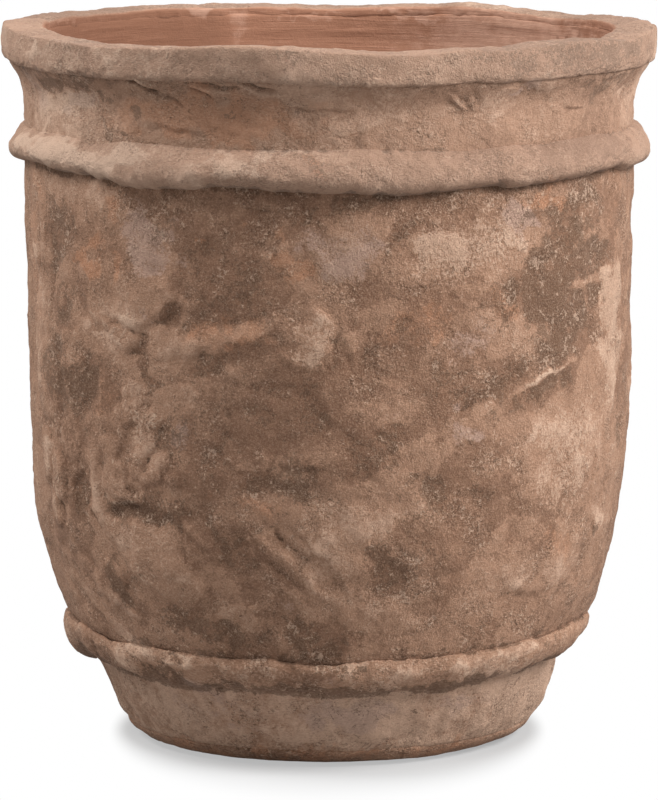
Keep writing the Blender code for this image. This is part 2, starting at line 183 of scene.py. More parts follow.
# Creases and drag marks, a negative depth being a ridge: (depth, half width, points of (angle, height))
CREASES = strokes((
    (3.4, 3, ((226, 412), (229.5, 404), (233.5, 399), (235.5, 396))),
    (2.6, 3.2, ((230.5, 380), (233, 385), (235.5, 393))),
    (1.6, 4, ((233.8, 384), (235.5, 366), (238, 348))),
    (-3.4, 6, ((220.5, 288), (221, 264), (221.5, 240), (224.5, 214))),
    (3.2, 3.6, ((218.6, 268), (218.8, 248), (219.5, 230), (222, 212))),
    (2.6, 2.8, ((224.5, 253), (226.5, 244), (230, 243), (234, 246), (238, 244))),
    (2.6, 3.4, ((239, 236), (242, 222), (246.5, 203))),
    (1.8, 3, ((304, 416), (305.5, 400), (304.5, 382))), (-3.4, 3, ((322.5, 369), (315, 359), (307, 348))),
    (1.4, 2.6, ((303, 166), (308, 164), (314, 160))),
    (2.2, 2.8, ((255.5, 512), (258, 511), (260.5, 513))),
    (1.8, 3.4, ((289, 312), (295, 330), (300.5, 344))),
    (-0.9, 4.4, ((240, 388), (248, 394), (256, 404), (262, 410))),
    (1.8, 2.6, ((291.5, 440), (292.5, 433), (292, 426))),
    (2.2, 3.4, ((251, 228), (256, 206), (262, 186), (266, 172))),
    (1.8, 3, ((256, 245), (261, 222), (268, 196))), (-2, 4.2, ((253.5, 236), (259, 213), (266, 190))),
    (1.6, 2.6, ((329, 300), (330.5, 270), (329.5, 240))),
    (-1.8, 4.6, ((206, 515), (207, 440), (205.5, 380))), (2, 3.6, ((201, 505), (202, 450), (201, 400))),
    (2, 3.6, ((210, 340), (211, 310), (209, 290))), (1.8, 3, ((270.5, 430), (272, 405), (273.5, 385))),
    (1.6, 2.8, ((261, 286), (266, 283), (270, 286))), (2.2, 3.4, ((212, 176), (216, 158), (222, 140))),
    (-1.6, 4, ((214, 184), (219, 164), (227, 140))), (1.6, 3, ((345, 440), (343, 400), (345, 360))),
    (3, 3, ((333.4, 213.5), (333.9, 207))), (3, 2.8, ((336.2, 212.5), (336.8, 207))),
    (1.8, 2.4, ((321.5, 252), (320, 238), (318, 214))),
    (1.4, 2.2, ((303.5, 162), (309, 160), (317.5, 155))),
    (1.4, 2.2, ((268, 424), (270.5, 410), (271.5, 389))),
    (1.2, 2.4, ((281, 483), (283, 497), (287, 502), (292, 494), (296, 476))),
    (1.6, 2.6, ((283, 284), (293, 314), (302.5, 343))),
))
NECK_CREASES = strokes((
    (4.2, 1.6, ((233.5, 625), (236, 619), (238.5, 613))),
    (2.2, 1.6, ((238, 614), (241.5, 607), (244, 602))),
    (2.4, 1.8, ((245, 620), (247, 614), (249.5, 608))),
    (-2, 2.6, ((246.5, 622), (249.5, 616), (253, 614))),
    (2.2, 1.6, ((248, 624), (251.5, 618), (254.5, 617))),
    (2.6, 1.7, ((255, 626), (257.5, 621), (260.5, 617))),
    (-1.6, 2.4, ((255.5, 620), (258.5, 615), (261.5, 612))),
    (-1.8, 2.2, ((292, 610), (293.5, 604), (295.5, 600))),
    (-1.4, 2, ((295, 611), (296.5, 606), (297.5, 599))), (1.2, 1.8, ((262, 600), (268, 598), (274, 601))),
    (1.4, 1.6, ((318, 596), (321, 591), (324, 590))), (1.4, 2.2, ((236, 583), (242, 578), (246, 577))),
))

# Stains: (angle, height, half width, half height, turn, strength). First, where a wet hand has left
# thin clay inside the mouth, with broad pale patches as painted light on the inner wall's right, and a
# few stains there, with a broad dark patch as painted shade on its left.
PALE_SMEARS_AND_LIGHT = metres((
    (160, 651, 60, 8, 0, 0.55), (116, 650, 24, 7, 0, 1.0), (95, 640, 50, 3, 0, 0.6),
    (72, 652, 40, 5, 0, 0.7), (24, 618, 80, 30, 0, 0.7), (48, 634, 60, 6, 0, 0.6),
    (45, 615, 140, 60, 0, 0.8), (108, 618, 16, 30, 0, 0.6), (140, 600, 80, 20, 0, 0.3),
    (300, 560, 90, 60, 0, 0.5), (220, 480, 110, 50, 0, 0.5),
))
DARK_SMEARS_AND_SHADE = metres((
    (30.4, 634, 6, 16, 0, 1.4), (133, 600, 50, 12, 0, 0.5), (86, 640, 3, 6, 0, 0.9),
    (60, 610, 50, 8, 0, 0.4), (250, 300, 150, 90, 0, 0.5), (70, 200, 150, 90, 0, 0.6),
    (145, 620, 150, 60, 0, 1.5),
))
SOOT = metres((
    (250, 450, 42, 46, 0, 0.75), (253, 385, 46, 15, 16, 0.75), (279, 519, 50, 13, 2, 0.85),
    (281, 484, 26, 18, 30, 0.85), (287, 466, 18, 14, 0, 0.7), (317, 452, 40, 46, 10, 1.5),
    (327, 480, 26, 30, 0, 1.2), (311, 430, 26, 30, 0, 1.2), (319, 400, 34, 36, -10, 1.4),
    (315, 348, 34, 13, 20, 1.5), (302, 354, 50, 15, 22, 0.95), (292, 358, 26, 22, 0, 0.8),
    (261, 276, 52, 16, 2, 0.85), (243, 136, 56, 12, -8, 1.1), (226, 163, 22, 18, -30, 0.9),
    (265, 124, 36, 18, 0, 0.95), (231.5, 240, 44, 11, -2, 0.9), (216, 237, 12, 20, 0, 1.1),
    (278, 300, 42, 36, 0, 0.6), (281, 302, 20, 13, 0, 0.95), (294, 299, 12, 8, 0, 0.9),
    (302, 262, 12, 15, 0, 0.7), (288, 264, 22, 26, 0, 0.75), (282, 195, 42, 20, 0, 0.7),
    (210, 468, 26, 48, 0, 0.85), (212, 420, 18, 26, 0, 0.7), (208, 362, 30, 34, 0, 0.75),
    (220, 330, 20, 34, 0, 0.6), (267, 511, 13, 9, 30, 1.0), (267, 384, 11, 10, 0, 1.0),
    (284, 411, 11, 8, 0, 1.1), (276, 388, 20, 10, 8, 0.85), (335, 209, 9, 6, 0, 1.6),
    (258, 218, 8, 8, 0, 0.9), (240, 414, 10, 17, -10, 0.8), (236, 362, 8, 26, -8, 0.5),
    (238, 500, 30, 18, 0, 0.55), (262, 330, 50, 24, 0, 0.55), (240, 336, 14, 40, -10, 0.6),
    (252, 214, 10, 34, 42, 0.7), (345, 300, 30, 50, 0, 0.5), (306, 128, 40, 12, 6, 0.6),
    (215, 616, 100, 12, 0, 0.95), (229, 583, 14, 7, 0, 1.2), (218, 648, 22, 12, 0, 0.65),
    (262, 640, 30, 10, 0, 0.55), (248, 612, 50, 10, 0, 0.35), (330, 616, 60, 8, 0, 0.6),
    (266, 548, 12, 8, 0, 0.7), (232, 88, 50, 10, 0, 0.6), (272, 94, 50, 8, 0, 0.7),
    (250, 62, 60, 10, 0, 0.6), (290, 50, 30, 18, 0, 0.5), (322, 642, 140, 20, 0, 0.5),
    (320, 488, 60, 34, 20, 1.1), (331, 448, 26, 36, 0, 1.1), (250, 300, 60, 50, 0, 0.6),
    (262, 350, 40, 30, 0, 0.6), (216, 345, 36, 30, 0, 0.7), (302, 430, 12, 30, 0, 0.6),
))
RUST = metres((
    (226, 513, 12, 14, 0, 0.7), (222, 465, 19, 20, 0, 1.0), (249, 494, 14, 6, 0, 0.8),
    (314, 519, 22, 14, 20, 1.2), (287, 416, 20, 30, 0, 0.7), (248, 592, 120, 22, 0, 0.95),
    (268, 600, 60, 12, 0, 0.6), (320, 195, 42, 20, 0, 0.6), (266, 550, 9, 8, 0, 0.9),
    (262, 475, 12, 20, 20, 0.7), (228, 350, 20, 40, 0, 0.5), (254, 255, 26, 14, 0, 0.6),
    (303, 435, 18, 14, 0, 0.6), (198, 440, 16, 110, 0, 0.6), (340, 480, 20, 60, 0, 0.5),
    (300, 560, 12, 10, 0, 0.4), (230, 6, 300, 10, 0, 0.8), (300, 5, 200, 9, 0, 0.7),
    (280, 342, 30, 30, 0, 0.4), (265, 440, 20, 30, 0, 0.4), (250, 400, 50, 12, 16, 0.7),
    (262, 468, 12, 18, 0, 0.8), (285, 415, 40, 22, 0, 0.6),
))
BLOOM = metres((
    (236, 478, 36, 38, 0, 0.9), (310, 497, 24, 17, -20, 1.0), (218, 592, 32, 14, 10, 0.9),
    (306, 612, 10, 9, 0, 0.9), (295, 312, 26, 15, 20, 0.9), (273, 478, 34, 32, 0, 0.6),
    (234, 420, 30, 22, 0, 0.5), (243, 300, 16, 24, 0, 0.5), (243, 55, 60, 20, 0, 0.8),
    (275, 52, 60, 20, 0, 0.8), (305, 56, 50, 16, 0, 0.6), (226, 140, 40, 14, -30, 0.7),
    (268, 185, 40, 34, 0, 0.4), (298, 400, 30, 24, 0, 0.5), (204, 605, 30, 30, 0, 0.5),
    (264, 90, 80, 12, 0, 0.4),
))
DUST = metres((
    (296, 478, 60, 40, 10, 0.9), (252, 404, 52, 10, 16, 0.3), (337, 390, 36, 70, -6, 1.0),
    (265, 404, 26, 26, 0, 0.8), (198, 400, 16, 150, 0, 0.6), (326, 495, 18, 16, 0, 0.8),
    (320, 300, 60, 34, 20, 0.7), (228, 410, 34, 20, 0, 0.6), (319, 275, 45, 65, 0, 0.8),
    (222, 643, 140, 20, 0, 0.6), (214, 552, 120, 14, 0, 1.0), (256, 556, 60, 7, 0, 0.7),
    (203, 270, 18, 24, 0, 0.8), (212, 592, 60, 20, 0, 0.8), (250, 100, 500, 6.5, 0, 0.8),
    (332, 250, 60, 80, 0, 0.5), (206, 240, 13, 16, 0, 0.6), (235, 315, 14, 16, 0, 0.9),
    (297, 335, 40, 6, 30, 0.6), (338, 240, 40, 60, 0, 0.6), (232, 195, 44, 24, 0, 0.5),
    (300, 250, 60, 30, 0, 0.3), (268, 432, 30, 20, 0, 0.4), (245, 520, 50, 10, 0, 0.3),
))

# Smears of thin clay, smooth and with one clear edge: (angle, height, half width, half height,
# turn, how much paler than the wall, the side of the stroke towards which it thins out)
SMEARS = metres((
    (288, 465, 42, 28, 18, 0.7, -120), (309, 490, 30, 20, 0, 0.6, 90), (298, 400, 45, 22, -10, 0.4, 180),
    (309, 398, 28, 18, 10, 0.55, -150), (338, 415, 32, 36, 0, 0.8, 0), (332, 335, 42, 48, 8, 0.8, -90),
    (321, 285, 60, 60, 4, 0.6, -90), (293.5, 312, 58, 15, 32, 1.2, -60), (330, 438, 50, 3.6, 8, 1.8, -90),
    (289, 338, 50, 18, 32, -0.5, 90), (286.5, 295, 44, 15, 24, 0.5, -60),
    (315.2, 358.5, 43, 4.2, 16, 2.6, -90), (283.5, 411, 14, 9, 15, -0.8, 0),
    (316, 425, 36, 20, 0, -0.55, -30), (314, 340, 48, 15, 12, -0.7, -60),
    (266.5, 407, 25, 23, 0, 0.5, 180), (262, 468, 9, 15, -14, 0.6, -90),
    (273.5, 469, 20, 21, 10, 0.55, 160), (275.5, 501, 28, 15, 6, 0.5, 90),
    (255, 462, 24, 14, 8, -0.4, -90), (252.5, 441, 34, 20, 0, -0.6, 120),
    (255, 394, 36, 13, 16, -0.6, -90), (251.5, 404, 56, 10, 13, 0.4, 90),
    (263.5, 372, 30, 14, 0, 0.25, -60), (281.5, 417, 30, 18, 0, 0.35, -20),
    (274, 396, 12, 10, 0, 0.45, 0), (272, 231, 52, 24, 4, 0.35, 160), (273.5, 187, 40, 22, 0, 0.3, -60),
    (255.5, 297, 26, 16, 0, 0.35, 60), (281, 261, 40, 20, 6, 0.45, 200),
    (280.5, 155, 50, 20, -12, 0.4, 60), (254.5, 150, 34, 14, 0, 0.35, 0),
    (262, 176, 62, 7, -47, 0.45, -90), (258.5, 203, 50, 5, -47, -0.55, 90),
    (218, 515, 55, 17, 0, 0.45, -60), (237, 462, 26, 20, 14, 0.55, 180),
    (233.5, 427, 52, 28, -8, 0.55, 120), (240.5, 415, 10, 16, 0, -0.8, -90),
    (239, 390, 17, 14, 24, 0.45, -90), (244, 377, 42, 18, 18, 0.5, -60),
    (227, 381, 27, 15, -30, 0.55, -100), (232, 360, 14, 16, 0, 0.45, 180),
    (234.5, 365, 6, 12, 10, -0.5, 0), (236, 344, 7, 6, 30, -0.8, 0), (214, 411, 25, 22, 0, -0.3, 60),
    (219.5, 435, 12, 12, 0, -0.8, 90), (215.5, 340, 46, 22, 0, -0.5, -90),
    (240, 337, 30, 19, 0, 0.5, -60), (203, 387, 28, 55, 0, 0.35, 0), (204, 273, 20, 22, 0, 0.5, 180),
    (207.5, 234, 28, 20, 0, 0.45, 100), (214, 233, 18, 15, 20, -0.85, 180),
    (222.5, 244, 19, 50, 0, 0.35, 0), (235, 303, 15, 16, -10, 0.65, 60), (238, 286, 12, 12, 0, 0.4, 0),
    (230.5, 268, 28, 8, 0, 0.35, 90), (235, 239, 46, 8, 3, -0.9, -90),
    (232, 206, 50, 24, -18, 0.12, -130), (219.5, 132, 70, 13, -34, 0.45, 90),
    (226.5, 161, 36, 11, -32, -0.6, 90), (206, 212, 22, 4, 0, -0.9, 0),
    (249.5, 201, 27, 7, -20, -0.6, 90), (266.5, 133, 24, 12, 0, -0.5, 90),
    (288, 229, 32, 20, 0, -0.4, 60), (282.5, 195, 22, 14, 40, -0.55, 0),
    (303.5, 260, 26, 14, 0, -0.55, -60), (306, 190, 42, 26, 0, 0.4, 60),
    (323.5, 185, 36, 24, 0, 0.45, 90), (298.5, 170, 32, 14, 0, 0.25, 180),
    (309, 216, 33, 18, 0, 0.45, -60), (293.5, 388, 37, 20, 6, -0.25, 180),
    (280, 342, 36, 20, 0, 0.25, 90), (266.5, 330, 24, 14, 0, -0.4, 0),
    (275.5, 298, 30, 20, 0, -0.35, 180), (213, 592, 50, 16, 10, 0.35, -60),
    (212, 552, 110, 12, 0, 0.7, 0), (250, 598, 50, 14, -16, -0.25, 120), (272, 592, 46, 14, 10, 0.25, 60),
    (300, 604, 30, 14, 0, 0.3, 180), (320, 594, 110, 30, -8, -0.35, 180),
    (318, 643.5, 150, 16, 0, -0.6, 180), (316, 554, 130, 14, 0, -0.5, 180),
    (262, 40, 50, 16, 0, 0.35, 90), (288, 46, 40, 18, 0, 0.4, 0),
))

# Edges along the bands and under the rim, darkened by dirt and painted shade: (height, how far up, how far
# down, strength), in metres
DIRT_AND_SHADE_EDGES = (
    (LOWER_BAND_BOTTOM, 0.0100, 0.0045, 2.6), (LOWER_BAND_TOP, 0.0085, 0.0012, 1.5),
    (UPPER_BAND_BOTTOM, 0.0022, 0.0060, 1.6), (UPPER_BAND_TOP, 0.0035, 0.0016, 0.9),
    (RIM_BOTTOM, 0.0020, 0.0050, 0.7),
)

# Waves of unevenness: (reach, cells round the pot, height of a cell, seed)
LUMPS = (
    (0.00170, 60, 0.030, 71), (0.00100, 130, 0.014, 72), (0.00050, 280, 0.0065, 73),
    (0.00030, 540, 0.0034, 74),
)
WIPED_RINGS = ((0.00045, 14, 0.0100, 81), (0.00030, 30, 0.0048, 82))
THUMBED = ((0.0016, 34, 0.030, 75),)
PATCHY = ((0.65, 46, 0.020, 91), (0.35, 150, 0.009, 92))
# The same, for what pulls the edges of each kind of mark about: first round the pot, then up
STAIN_PULL = (
    ((4.2, 80, 0.022, 21), (1.8, 230, 0.008, 22)), ((0.014, 76, 0.020, 23), (0.008, 240, 0.008, 24)),
)
PAT_PULL = (((0.9, 150, 0.012, 31),), ((0.004, 140, 0.012, 32),))
SMEAR_PULL = (
    ((1.1, 130, 0.014, 35), (0.5, 380, 0.005, 36)), ((0.0045, 120, 0.014, 37), (0.0020, 360, 0.005, 38)),
)
STROKE_PULL = (((0.5, 180, 0.009, 41),), ((0.0024, 170, 0.010, 42),))
LATTICE_ROWS = 64  # cells up, after which the unevenness repeats

# How far a mark of each kind reaches, in its own half sizes, and over how much of that it fades
STAIN_REACH = 1.45
PAT_REACH = 1.15
PAT_EDGE = 0.30
PAT_FALL = 0.25  # share of its rise by which a pat is lower at its edge
PAT_COVERS = 0.35  # share of the relief under a pat that still shows on it
SMEAR_REACH = 1.06
SMEAR_EDGE = 0.14
SMEAR_END = 0.95  # where a smear has thinned out, towards its thin side
SMEAR_FADE = 1.3
SMEAR_DEPTH = 0.0007
STROKE_REACH = 8.0  # half widths
LIP_SHARE = 0.35  # height of the lip pushed up beside a crease, as a share of the depth
LIP_AWAY = 2.2  # how far off that lip lies, in half widths
LIP_WIDTH = 1.6
BLUNT_ENDS = 0.12  # how much depth a crease keeps at its ends
CREASE_REACH = 0.0045  # clay this near counts for how deep a crease lies
HOLLOW_REACH = 0.013
FACE_BLEND = 0.004  # width over which the look of the inside turns into that of the outside

# The side that the camera sees, in degrees, and the heights between which marks are shuffled behind
FRONT_START, FRONT_END = 188.0, 352.0
WALL_MARKS_LOW, WALL_MARKS_HIGH = 0.14, 0.50

# Fineness: rings are drawn round with this many sides, then smoothed this many times
WALL_SIDES = 100
TRIM_SIDES = 96
FINE = 3
PLAIN = 2
MOST_TRIANGLES = 190000

# Camera, as the rim's ellipses place it
CAMERA_AIM = (0.0006, 0.0, 0.3075)
CAMERA_DISTANCE = 5.23
CAMERA_RISE = 8.1
CAMERA_LENS = 255.06

# Studio
LAMPS = (("key", (2.50, -1.15, 2.25), 158.0), ("fill", (-2.20, -0.40, 2.95), 112.0))
LAMP_WIDTH = 1.6
LAMPS_AIM = Vector((0.0, 0.0, 0.3))
SKY_STRENGTH = 0.44
FLOOR_SIZE = 40.0
FLOOR_GREY = (0.36, 0.36, 0.36, 1.0)
WHITE = (1.0, 1.0, 1.0, 1.0)
SHADOW_WIDTH = 0.205  # where the floor's shade has faded out to the left and right, along X
SHADOW_DEPTH = 0.350  # the same to the front and back, along Y


def between(low, high, share):
    """The value a given share of the way from low to high."""
    return low + (high - low) * share


def steps(low, high, count):
    """Evenly spaced values from low to high, both ends included."""
    return [between(low, high, step / count) for step in range(count + 1)]


def smooth(share):
    """A share between 0 and 1 that starts and ends gently."""
    share = np.clip(share, 0.0, 1.0)
    return share * share * (3.0 - 2.0 * share)


def bump(distance):
    """A smooth hill of height 1 at distance 0 that ends at distance 1."""
    return 0.5 + 0.5 * np.cos(math.pi * np.minimum(1.0, np.abs(distance)))


def turn_between(angle, other):
    """The shorter way round from one angle to another, in degrees."""
    return (angle - other + 180.0) % 360.0 - 180.0


def lift(lifts, angle):
    """How far hands have pushed an edge up at this angle."""
    return sum(rise * bump(turn_between(angle, centre) / width) for centre, width, rise in lifts)


def near(height, level, reach):
    """How much a level's own lift carries to another height: 1 on the level, 0 a reach away."""
    return np.maximum(0.0, 1.0 - np.abs(height - level) / reach)


def wall_radius(height):
    """Outer radius of the bare wall, without its bands, at any height above the ledge."""
    if height <= LOWER_BAND_BOTTOM:
        share = (height - LEDGE_HEIGHT) / (LOWER_BAND_BOTTOM - LEDGE_HEIGHT)
        return between(HEEL_RADIUS, FOOT_TOP_RADIUS, share) + FOOT_CROWN * 4 * share * (1 - share)
    if height <= LOWER_BAND_TOP:
        share = (height - LOWER_BAND_BOTTOM) / (LOWER_BAND_TOP - LOWER_BAND_BOTTOM)
        return between(FOOT_TOP_RADIUS, BARREL_FOOT_RADIUS, share)
    if height <= BELLY:
        share = (height - LOWER_BAND_TOP) / (BELLY - LOWER_BAND_TOP)
        return between(BELLY_RADIUS, BARREL_FOOT_RADIUS, (1 - share) ** 2)
    if height <= UPPER_BAND_BOTTOM:
        share = (height - BELLY) / (UPPER_BAND_BOTTOM - BELLY)
        return between(BELLY_RADIUS, BARREL_TOP_RADIUS, share)
    if height <= UPPER_BAND_TOP:
        share = (height - UPPER_BAND_BOTTOM) / (UPPER_BAND_TOP - UPPER_BAND_BOTTOM)
        return between(BARREL_TOP_RADIUS, NECK_RADIUS, share)
    share = max(0.0, (height - COVE_BOTTOM) / (RIM_BOTTOM - COVE_BOTTOM))
    return between(NECK_RADIUS, COVE_TOP_RADIUS, share**2)


def inner_radius(height):
    """Radius of the wall's inner face, which doesn't follow the cove."""
    return BORE_RADIUS if height > UPPER_BAND_TOP else wall_radius(height) - WALL


def unevenness(angle, height, cells, rise, seed):
    """Soft unevenness between -1 and 1, in cells counted round the pot and each this tall."""
    lattice = np.random.default_rng(seed).uniform(-1.0, 1.0, (LATTICE_ROWS, cells))
    across, up = angle / 360.0 * cells, height / rise
    column, row = np.floor(across).astype(int), np.floor(up).astype(int)
    along, above = smooth(across - column), smooth(up - row)
    corner = [
        [lattice[(row + i) % LATTICE_ROWS, (column + j) % cells] for j in (0, 1)] for i in (0, 1)
    ]
    low = between(corner[0][0], corner[0][1], along)
    high = between(corner[1][0], corner[1][1], along)
    return between(low, high, above)


def ruffled(values, angle, height, waves):
    """Values with waves of unevenness added."""
    for reach, *cells in waves:
        values = values + reach * unevenness(angle, height, *cells)
    return values


def pulled(angle, height, pull):
    """Places pulled about round the pot and up, so that a mark read there has an uneven edge."""
    return ruffled(angle, angle, height, pull[0]), ruffled(height, angle, height, pull[1])


def offset_from(angle, height, centre, level, turn):
    """Where points lie from a centre on the unrolled wall, along and across a turned stroke."""
    across = np.radians(turn_between(angle, centre)) * BELLY_RADIUS
    up = height - level
    lean = math.radians(turn)
    return across * math.cos(lean) + up * math.sin(lean), up * math.cos(lean) - across * math.sin(lean)


def touched(angle, height, centre, level, reach):
    """Which points lie so near a mark's centre that it can touch them."""
    if level + reach < height.min() or level - reach > height.max():
        return np.empty(0, int)
    near_level = np.nonzero(np.abs(height - level) < reach)[0]
    across = np.abs(turn_between(angle[near_level], centre)) * math.radians(BELLY_RADIUS)
    return near_level[across < reach]


def each_mark(angle, height, marks, pull, reach):
    """For each mark: the points in reach, their offsets in half sizes, and its other values."""
    angle, height = pulled(angle, height, pull)
    for centre, level, half_width, half_height, turn, *others in marks:
        here = touched(angle, height, centre, level, reach * max(half_width, half_height))
        along, across = offset_from(angle[here], height[here], centre, level, turn)
        yield here, along / half_width, across / half_height, *others


def spread(angle, height, marks):
    """Soft patches of given strength, each with an edge pulled about by the clay's texture."""
    total = np.zeros_like(angle)
    for here, along, across, strength in each_mark(angle, height, marks, STAIN_PULL, STAIN_REACH):
        patch = strength * smooth(STAIN_REACH - np.hypot(along, across))
        total[here] = np.maximum(total[here], patch)
    return total


def pressed(angle, height, pats):
    """Relief of overlapping pats: each is a low dome whose edge steps down onto what it covers."""
    relief = np.zeros_like(angle)
    for here, along, across, rise in each_mark(angle, height, pats, PAT_PULL, PAT_REACH):
        distance = np.hypot(along, across)
        cover = smooth((PAT_REACH - distance) / PAT_EDGE)
        dome = rise * (1.0 - PAT_FALL * np.minimum(distance, 1.2) ** 2)
        relief[here] = between(relief[here], relief[here] * PAT_COVERS + dome, cover)
    return relief


def smeared(angle, height, smears):
    """How pale thin smears of clay leave the wall, from -1 to 1, and where they make it smooth."""
    tone, slip = np.zeros_like(angle), np.zeros_like(angle)
    marks = each_mark(angle, height, smears, SMEAR_PULL, SMEAR_REACH)
    for here, along, across, paler, thin_side in marks:
        lean = math.radians(thin_side)
        towards = along * math.cos(lean) + across * math.sin(lean)
        cover = smooth((SMEAR_REACH - np.hypot(along, across)) / SMEAR_EDGE)
        cover = cover * smooth((SMEAR_END - towards) / SMEAR_FADE)
        tone[here] = between(tone[here], paler, cover)
        slip[here] = between(slip[here], 1.0, cover)
    return tone, slip


def drawn(angle, height, creases):
    """Relief of creases and ridges drawn along their points, deepest half way along."""
    relief = np.zeros_like(angle)
    angle, height = pulled(angle, height, STROKE_PULL)
    for depth, half_width, points in creases:
        count = len(points) - 1
        middle_angle, middle = points[len(points) // 2]
        length = sum(
            math.hypot(math.radians(turn_between(a, c)) * BELLY_RADIUS, b - d)
            for (a, b), (c, d) in zip(points, points[1:]))
        here = touched(angle, height, middle_angle, middle, length + STROKE_REACH * half_width)
        best = np.full(len(here), 1.0)
        where = np.zeros(len(here))
        side = np.zeros(len(here))
        for index in range(count):
            (start_angle, start), (end_angle, end) = points[index], points[index + 1]
            x, y = offset_from(angle[here], height[here], start_angle, start, 0.0)
            run = math.radians(turn_between(end_angle, start_angle)) * BELLY_RADIUS
            climb = end - start
            share = np.clip((x * run + y * climb) / (run * run + climb * climb), 0.0, 1.0)
            away = np.hypot(x - share * run, y - share * climb)
            nearer = away < best
            best = np.where(nearer, away, best)
            where = np.where(nearer, (index + share) / count, where)
            side = np.where(nearer, np.sign(y * run - x * climb), side)
        fade = np.sqrt(np.clip(4.0 * where * (1.0 - where) + BLUNT_ENDS, 0.0, 1.0))
        groove = np.exp(-((best / half_width) ** 2))
        lip = np.exp(-(((best / half_width - LIP_AWAY) / LIP_WIDTH) ** 2)) * (side > 0)
        relief[here] += fade * (LIP_SHARE * depth * lip - depth * groove)
    return relief


def scattered(seed, count, levels, sizes, slimness, turns, *others):
    """Seeded marks all round the pot, each value drawn between its two limits."""
    draw = np.random.default_rng(seed)
    marks = []
    for _ in range(count):
        size = draw.uniform(*sizes)
        marks.append((
            draw.uniform(0.0, 360.0), draw.uniform(*levels), size, size * draw.uniform(*slimness),
            draw.uniform(*turns), *(draw.uniform(*limits) for limits in others),
        ))
    return tuple(marks)


def at_the_back(marks, seed):
    """The same kinds of marks for the side away from the camera, shuffled so that none repeats."""
    draw = np.random.default_rng(seed)
    turned = []
    for centre, level, half_width, half_height, turn, strength, *thin_side in marks:
        angle = (centre - 180.0 + draw.uniform(-20.0, 20.0)) % 360.0
        if FRONT_START < angle < FRONT_END:
            continue
        on_wall = WALL_MARKS_LOW - 0.01 < level < WALL_MARKS_HIGH + 0.01
        height = draw.uniform(WALL_MARKS_LOW, WALL_MARKS_HIGH) if on_wall else level
        turned.append((
            angle, height, half_width * draw.uniform(0.7, 1.3), half_height * draw.uniform(0.7, 1.3),
            -turn, strength * draw.uniform(0.8, 1.1), *thin_side,
        ))
    return tuple(turned)


STAINS = {
    "soot": SOOT + at_the_back(SOOT, 51), "rust": RUST + at_the_back(RUST, 52),
    "bloom": BLOOM + at_the_back(BLOOM, 53), "dust": DUST + at_the_back(DUST, 54),
}
INNER_STAINS_AND_SHADING = {"pale": PALE_SMEARS_AND_LIGHT, "dark": DARK_SMEARS_AND_SHADE}
ALL_PATS = PATS + at_the_back(PATS, 55)
ALL_HOLLOWS = HOLLOWS + at_the_back(HOLLOWS, 56)
SMALL_SMEARS = scattered(
    65, 260, (0.02, 0.65), (0.012, 0.045), (0.3, 0.8), (-35.0, 45.0), (-0.5, 0.5), (0.0, 360.0))
ALL_SMEARS = SMALL_SMEARS + SMEARS + at_the_back(SMEARS, 57)
PAT_SHAPE = ((0.5, 1.0), (-40.0, 40.0))  # limits of a pat's slimness and turn
SMALL_PATS = scattered(61, 230, (0.11, 0.53), (0.012, 0.046), *PAT_SHAPE, (-0.0006, 0.0014))
NECK_PATS = scattered(62, 60, (0.57, 0.62), (0.010, 0.030), *PAT_SHAPE, (-0.0008, 0.0012))
RIM_PATS = scattered(63, 60, (0.61, 0.66), (0.010, 0.032), *PAT_SHAPE, (-0.0006, 0.0010))
FOOT_PATS = scattered(64, 40, (0.02, 0.08), (0.012, 0.036), *PAT_SHAPE, (-0.0006, 0.0010))


def hand_shaped(points):
    """Moves points of the true turned form to where the uneven frame has them."""
    radius, angle, height = polar(points)
    rim_share = np.maximum(0.0, (height - UPPER_BAND_TOP) / (RIM_TOP - UPPER_BAND_TOP))
    rise = lift(RIM_LIFTS, angle) * rim_share**2
    lower, upper = LOWER_BAND_TOP - LOWER_BAND_BOTTOM, UPPER_BAND_TOP - UPPER_BAND_BOTTOM
    for level, reach, lifts in (
        (LOWER_BAND_BOTTOM, lower, LOWER_BAND_BOTTOM_LIFTS), (LOWER_BAND_TOP, lower, LOWER_BAND_TOP_LIFTS),
        (UPPER_BAND_BOTTOM, upper, UPPER_BAND_BOTTOM_LIFTS), (UPPER_BAND_TOP, upper, UPPER_BAND_TOP_LIFTS),
    ):
        rise = rise + lift(lifts, angle) * near(height, level, reach)
    swell = sum(
        size * np.cos(np.radians(cycles * (angle - crest))) for cycles, size, crest in OUT_OF_ROUND)
    for centre, level, half_width, half_height, size in PRESS_MARKS:
        across = np.radians(turn_between(angle, centre)) * BELLY_RADIUS / half_width
        swell = swell + size * bump(across) * bump((height - level) / half_height)
    scale = (radius + swell * np.minimum(1.0, radius / STANDING_RADIUS) ** 2) / radius
    return np.stack((points[:, 0] * scale, points[:, 1] * scale, height + rise), axis=1)


def polar(points):
    """Radius, angle and height of each point."""
    radius = np.hypot(points[:, 0], points[:, 1])
    angle = np.degrees(np.arctan2(points[:, 1], points[:, 0])) % 360.0
    return radius, angle, points[:, 2]


